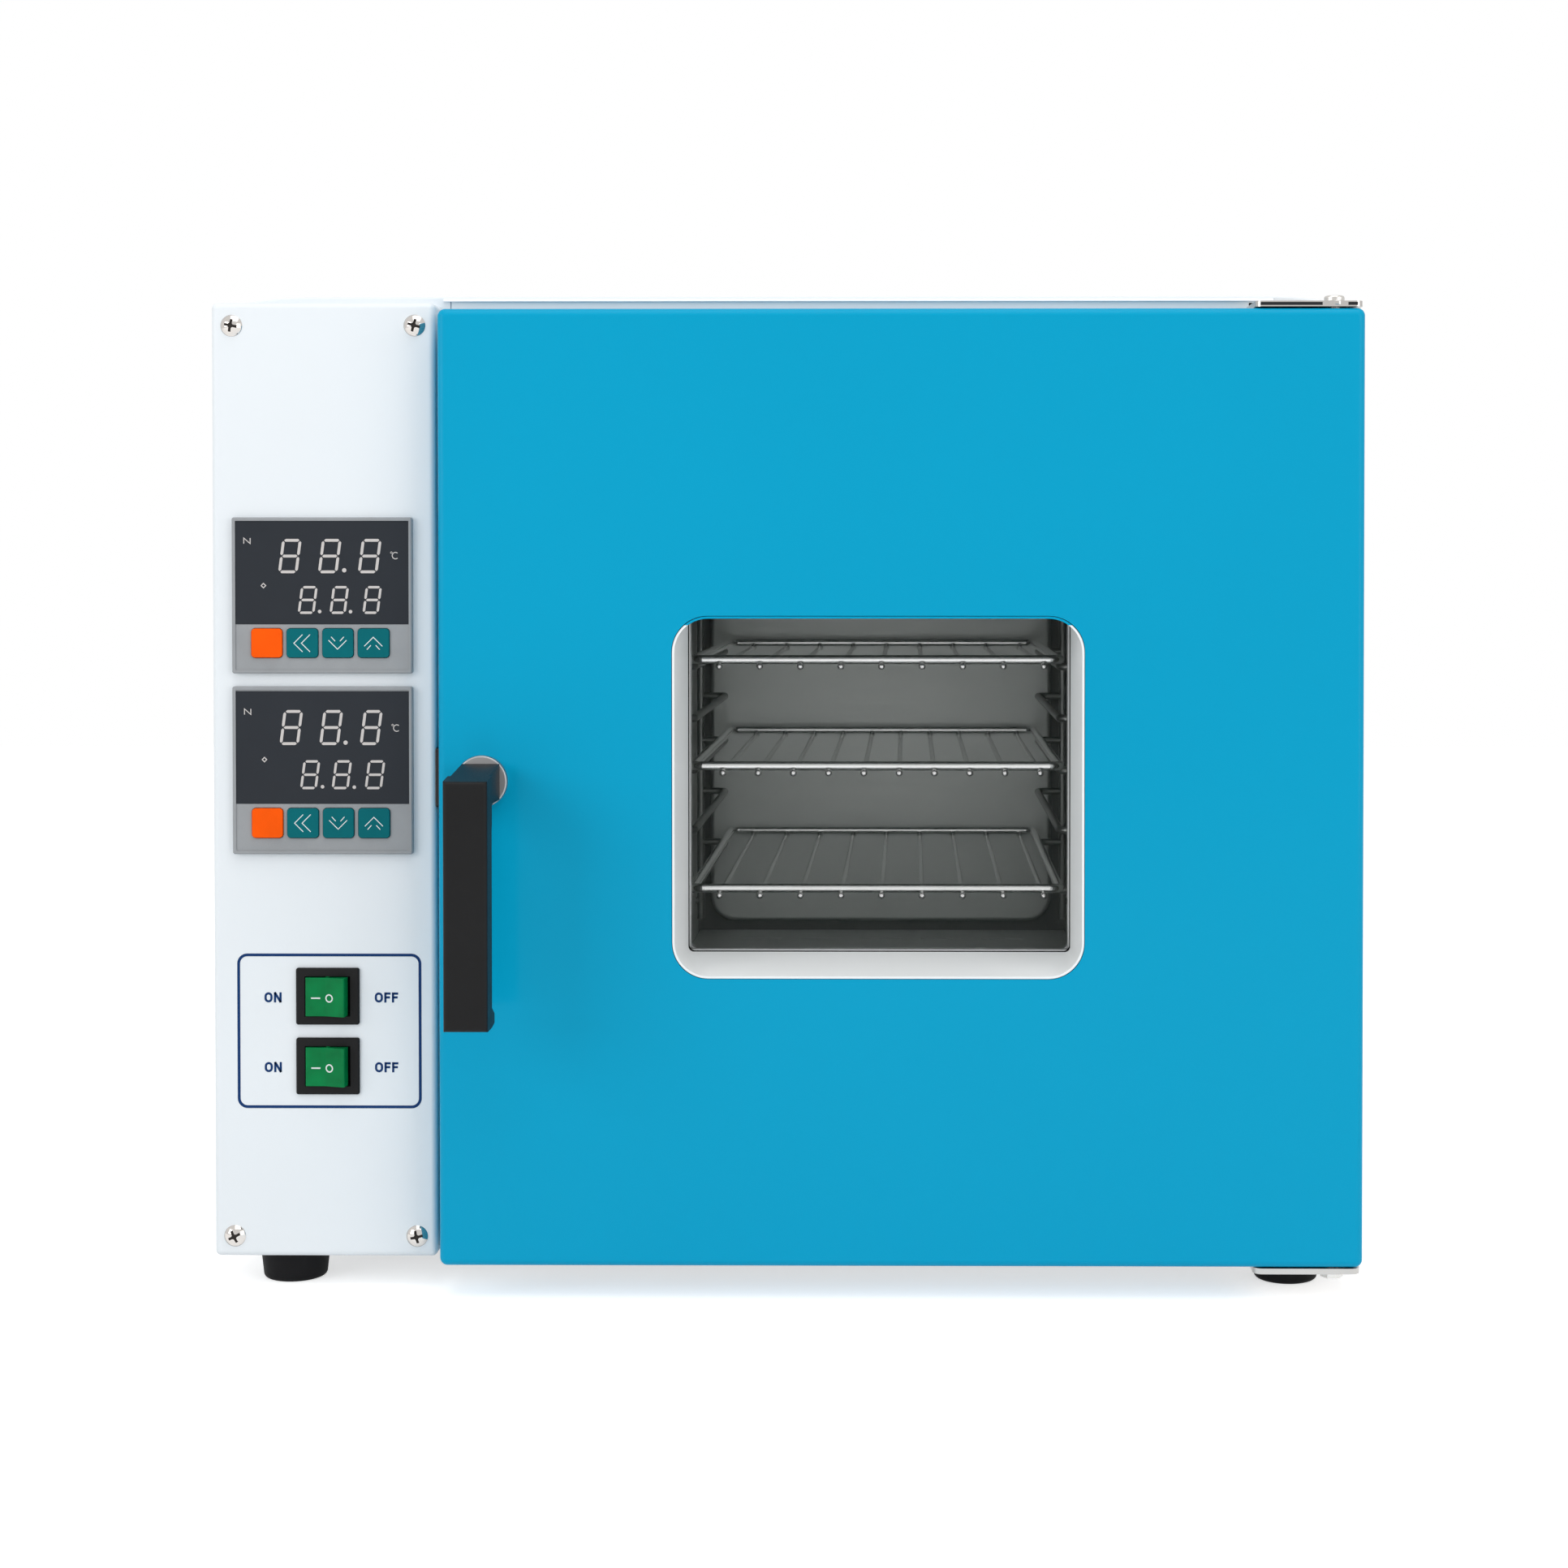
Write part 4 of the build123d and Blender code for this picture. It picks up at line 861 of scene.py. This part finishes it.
class OVEN_OT_fascia_screws(bpy.types.Operator):
    """Put the four domed screws into the corners of the fascia"""

    bl_idname = "oven.fascia_screws"
    bl_label = "Fascia screws"

    def execute(self, context):
        low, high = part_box("fascia_screws")
        radius = CAD_SCREW_HEAD / 2
        left, right = low.x / MM + radius, high.x / MM - radius
        bottom, top = low.z / MM + radius, high.z / MM - radius
        points = [(x, FASCIA_FRONT, z) for x in (left, right) for z in (bottom, top)]
        heads = repeated(
            "fascia_screw_heads", screw_tree(context.scene.oven_sizes), points, "screw_steel", "case"
        )
        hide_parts("fascia_screws")
        return {"FINISHED"}


class OVEN_OT_display_figures(bpy.types.Operator):
    """Light the figures, points and lamps of both displays"""

    bl_idname = "oven.display_figures"
    bl_label = "Display figures"

    def execute(self, context):
        rise = context.scene.oven_sizes.ink_rise
        sides = zip(("upper", "lower"), (UPPER_FIGURES, LOWER_FIGURES), (UPPER_POINTS, LOWER_POINTS),
                    UNIT_PLACES, MODE_PLACES, LAMP_PLACES)
        for name, figures, points, unit, mode, lamp in sides:
            marks = Marks(on_plane(DISPLAY_FRONT), rise)
            for number, (left, right, bottom, top) in enumerate(figures):
                seven_segments(marks, left, right, bottom, top, 1.5 if number < 3 else 1.3)
            for number, (x, z) in enumerate(points):
                marks.shape(circle(x, z, 1.15 if number == 0 else 0.95))
            x, z = unit
            marks.line(circle(x - 1.5, z + 1.6, 0.45, 10), 0.25, True)
            marks.line(circle(x + 0.7, z, 1.75, 12, 50, 260), 0.45)
            x, z = mode
            marks.line([(x - 1.7, z - 1.5), (x - 1.7, z + 1.5), (x + 1.7, z - 1.5), (x + 1.7, z + 1.5)], 0.5)
            x, z = lamp
            marks.line([(x - 1.2, z), (x, z + 1.2), (x + 1.2, z), (x, z - 1.2)], 0.5, True)
            marks.finish(f"{name}_display_figures", "display_figures", "case", "display_smoke")
        return {"FINISHED"}


class OVEN_OT_key_symbols(bpy.types.Operator):
    """Print the arrows on the keys"""

    bl_idname = "oven.key_symbols"
    bl_label = "Key symbols"

    def execute(self, context):
        rise = context.scene.oven_sizes.ink_rise
        for place, z in KEY_ROWS.items():
            for key, x in KEY_COLUMNS.items():
                marks = Marks(on_plane(KEY_FRONT), rise)
                if key == "shift_key":
                    for left in (x - 4.4, x - 0.4):
                        marks.line([(left + 4.6, z + 4.6), (left, z), (left + 4.6, z - 4.6)], 0.45)
                else:
                    side = 1 if key == "up_key" else -1
                    marks.line([(x - 4.8, z - 1.6 * side), (x, z + 3.2 * side), (x + 4.8, z - 1.6 * side)], 0.45)
                    for way in (-1, 1):
                        marks.line([(x + 1.3 * way, z - 1.1 * side), (x + 3.4 * way, z - 3.4 * side)], 0.45)
                marks.finish(f"{place}_{key}_arrow", "pale_ink", f"{place}_{key}", "teal_key")
        return {"FINISHED"}


class OVEN_OT_switch_marks(bpy.types.Operator):
    """Print the outline and words round the switches, and the marks on their rockers"""

    bl_idname = "oven.switch_marks"
    bl_label = "Switch marks"

    def execute(self, context):
        rise = context.scene.oven_sizes.ink_rise
        marks = Marks(on_plane(FASCIA_FRONT), rise)
        marks.line(rounded(*SWITCH_FRAME, SWITCH_FRAME_CORNER), SWITCH_FRAME_WIDTH, True)
        for z in SWITCH_Z:
            for text, x in SWITCH_WORDS.items():
                word(marks, text, x, z - WORD_DROP, WORD_HEIGHT)
        marks.finish("switch_group_print", "navy_ink", "case", "white_enamel")
        for name, z in zip(("upper_rocker", "lower_rocker"), SWITCH_Z):
            marks = Marks(on_rocker(z), rise)
            marks.line([(-7.6, -0.6), (-2.8, -0.6)], 0.75)
            marks.line(circle(2.2, -0.6, 1.9, 18), 0.7, True)
            marks.finish(f"{name}_marks", "pale_ink", name, "green_rocker")
        return {"FINISHED"}


class OVEN_OT_shelf_tips(bpy.types.Operator):
    """Round off the ends of every shelf wire"""

    bl_idname = "oven.shelf_tips"
    bl_label = "Shelf wire tips"

    def execute(self, context):
        tree = tip_tree(context.scene.oven_sizes)
        for name, count in SHELF_WIRES.items():
            low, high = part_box(name)
            middle = (low.x + high.x) / 2 / MM
            span = 180.0 if count == 9 else 176.0
            z = low.z / MM + 1.5
            points = []
            for number in range(count):
                x = middle + 3.0 - span / 2 + span * number / (count - 1)
                points += [(x, low.y / MM, z), (x, high.y / MM, z)]
            repeated(f"{name}_tips", tree, points, "bright_wire", name, pi)
        return {"FINISHED"}


class OVEN_OT_seams(bpy.types.Operator):
    """Show the seams where the front frame meets the control side"""

    bl_idname = "oven.seams"
    bl_label = "Seam lines"

    def execute(self, context):
        marks = Marks(on_plane(CASE_FRONT), context.scene.oven_sizes.ink_rise)
        marks.line([(SEAM_X, z) for z in SEAM_Z], SEAM_WIDTH)
        marks.finish("front_frame_seam", "seam_shadow", "case", "white_enamel")
        return {"FINISHED"}


class OVEN_OT_trim(bpy.types.Operator):
    """Add the bead round the glass, the rolled edge of the case, and a dark strip of painted shade along the channel
    of the top hinge
    """

    bl_idname = "oven.trim"
    bl_label = "Small trim"

    def execute(self, context):
        marks = Marks(on_plane(GLASS_FRONT), GLASS_BEAD_RISE)
        left, right = GLASS_BEAD_X
        low, high = GLASS_BEAD_Z
        marks.line([(left, high), (left, low), (right, low), (right, high)], GLASS_BEAD_WIDTH)
        marks.finish("glass_bead", "aluminium_spacer", "door", "aluminium_spacer")
        rolled_edge("case_top_bead", CASE_BEAD_SPAN, CASE_FRONT, CASE_BEAD_Z, CASE_BEAD_RADIUS, "white_enamel", "case")
        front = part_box("hinge_brackets")[0].y / MM
        # A flat near-black strip, painted shade along the hinge's channel
        marks = Marks(on_plane(front), CHANNEL_SHADE_RISE)
        for start, end in CHANNEL_SHADE_PARTS:
            marks.line([(start, CHANNEL_SHADE_Z), (end, CHANNEL_SHADE_Z)], CHANNEL_SHADE_WIDTH)
        marks.finish("top_hinge_channel_shade", "black_steel", "case", "zinc_plate")
        middle = (BOSS_X, front + BOSS_SET_BACK)
        round_boss("top_hinge_boss", middle, *BOSS_Z, BOSS_RADIUS, "bracket_steel", "case", "zinc_plate")
        return {"FINISHED"}


class OVEN_OT_stage(bpy.types.Operator):
    """Set up the floor, the soft light and the camera of the photograph"""

    bl_idname = "oven.stage"
    bl_label = "Floor, light and camera"

    def execute(self, context):
        scene = context.scene
        scene.view_settings.view_transform = "Standard"
        self.make_world(scene)
        self.make_floor(scene)
        for lamp in LAMPS:
            self.make_lamp(scene, *lamp)
        self.make_camera(scene)
        return {"FINISHED"}

    def make_world(self, scene):
        world = bpy.data.worlds.new("studio")
        world.use_nodes = True
        scene.world = world
        graph = Graph(world.node_tree)
        world.node_tree.nodes.clear()
        seen = self.seen_directly(graph)
        light = graph.node("ShaderNodeBackground", None, {
            "Color": WHITE_LIGHT, "Strength": WORLD_LIGHT + (1.0 - WORLD_LIGHT) * seen,
        })
        graph.node("ShaderNodeOutputWorld", None, {"Surface": light})

    def seen_directly(self, graph):
        """1 for what the camera, a reflection or clear glass shows, else 0."""
        camera = graph.node("ShaderNodeLightPath", output="Is Camera Ray")
        glossy = graph.node("ShaderNodeLightPath", output="Is Glossy Ray")
        through = graph.node("ShaderNodeLightPath", output="Is Transmission Ray")
        return graph.node("ShaderNodeMath", {"operation": "MINIMUM"}, {0: camera + glossy + through, 1: 1.0})

    def make_floor(self, scene):
        data = bpy.data.meshes.new("floor")
        mesh = bmesh.new()
        bmesh.ops.create_grid(mesh, x_segments=8, y_segments=8, size=4.0)
        mesh.to_mesh(data)
        mesh.free()
        floor = bpy.data.objects.new("floor", data)
        scene.collection.objects.link(floor)
        finish = Finish("pale_floor")
        cloud = finish.noise(3.0, 2.0)
        seen = self.seen_directly(finish)
        colour = finish.tint(cloud, (0.86, 0.86, 0.86), (0.9, 0.9, 0.9))
        surface = finish.node("ShaderNodeBsdfDiffuse", None, {"Color": colour})
        glow = finish.node("ShaderNodeEmission", None, {"Color": WHITE_LIGHT, "Strength": FLOOR_GLOW * seen})
        mixed = finish.node("ShaderNodeAddShader", None, {0: surface, 1: glow})
        finish.node("ShaderNodeOutputMaterial", None, {"Surface": mixed})
        data.materials.append(finish.material)

    def make_lamp(self, scene, name, place, aim, size, power):
        data = bpy.data.lights.new(name, "AREA")
        data.shape = "SQUARE"
        data.size = size
        data.energy = power
        lamp = bpy.data.objects.new(name, data)
        lamp.location = place
        lamp.rotation_euler = (Vector(aim) - Vector(place)).to_track_quat("-Z", "Y").to_euler()
        scene.collection.objects.link(lamp)

    def make_camera(self, scene):
        data = bpy.data.cameras.new("camera")
        data.sensor_width = 36.0
        data.lens = CAMERA_LENS
        data.shift_x, data.shift_y = CAMERA_SHIFT
        data.clip_start = 0.05
        data.clip_end = 60.0
        camera = bpy.data.objects.new("camera", data)
        camera.location = CAMERA_PLACE
        camera.rotation_euler = CAMERA_TURN
        scene.collection.objects.link(camera)
        scene.camera = camera


class OVEN_PT_panel(bpy.types.Panel):
    """The oven's pieces, each with its button"""

    bl_idname = "OVEN_PT_panel"
    bl_label = "Bench drying oven"
    bl_space_type = "VIEW_3D"
    bl_region_type = "UI"
    bl_category = "Oven"

    def draw(self, context):
        for step in STEPS:
            self.layout.operator(step.bl_idname)
        for group in (context.scene.oven_colours, context.scene.oven_sizes):
            column = self.layout.column()
            for name in group.bl_rna.properties.keys():
                if name not in ("rna_type", "name"):
                    column.prop(group, name)


STEPS = (
    OVEN_OT_finishes, OVEN_OT_fascia_screws, OVEN_OT_display_figures, OVEN_OT_key_symbols,
    OVEN_OT_switch_marks, OVEN_OT_shelf_tips, OVEN_OT_seams, OVEN_OT_trim, OVEN_OT_stage,
)


def register():
    for part in (OvenColours, OvenSizes, *STEPS, OVEN_PT_panel):
        bpy.utils.register_class(part)
    bpy.types.Scene.oven_colours = PointerProperty(type=OvenColours)
    bpy.types.Scene.oven_sizes = PointerProperty(type=OvenSizes)


def unregister():
    del bpy.types.Scene.oven_sizes
    del bpy.types.Scene.oven_colours
    for part in (OVEN_PT_panel, *STEPS[::-1], OvenSizes, OvenColours):
        bpy.utils.unregister_class(part)


def main():
    register()
    bpy.ops.oven.finishes()
    bpy.ops.oven.fascia_screws()
    bpy.ops.oven.display_figures()
    bpy.ops.oven.key_symbols()
    bpy.ops.oven.switch_marks()
    bpy.ops.oven.shelf_tips()
    bpy.ops.oven.seams()
    bpy.ops.oven.trim()
    bpy.ops.oven.stage()


if __name__ == "__main__":
    main()
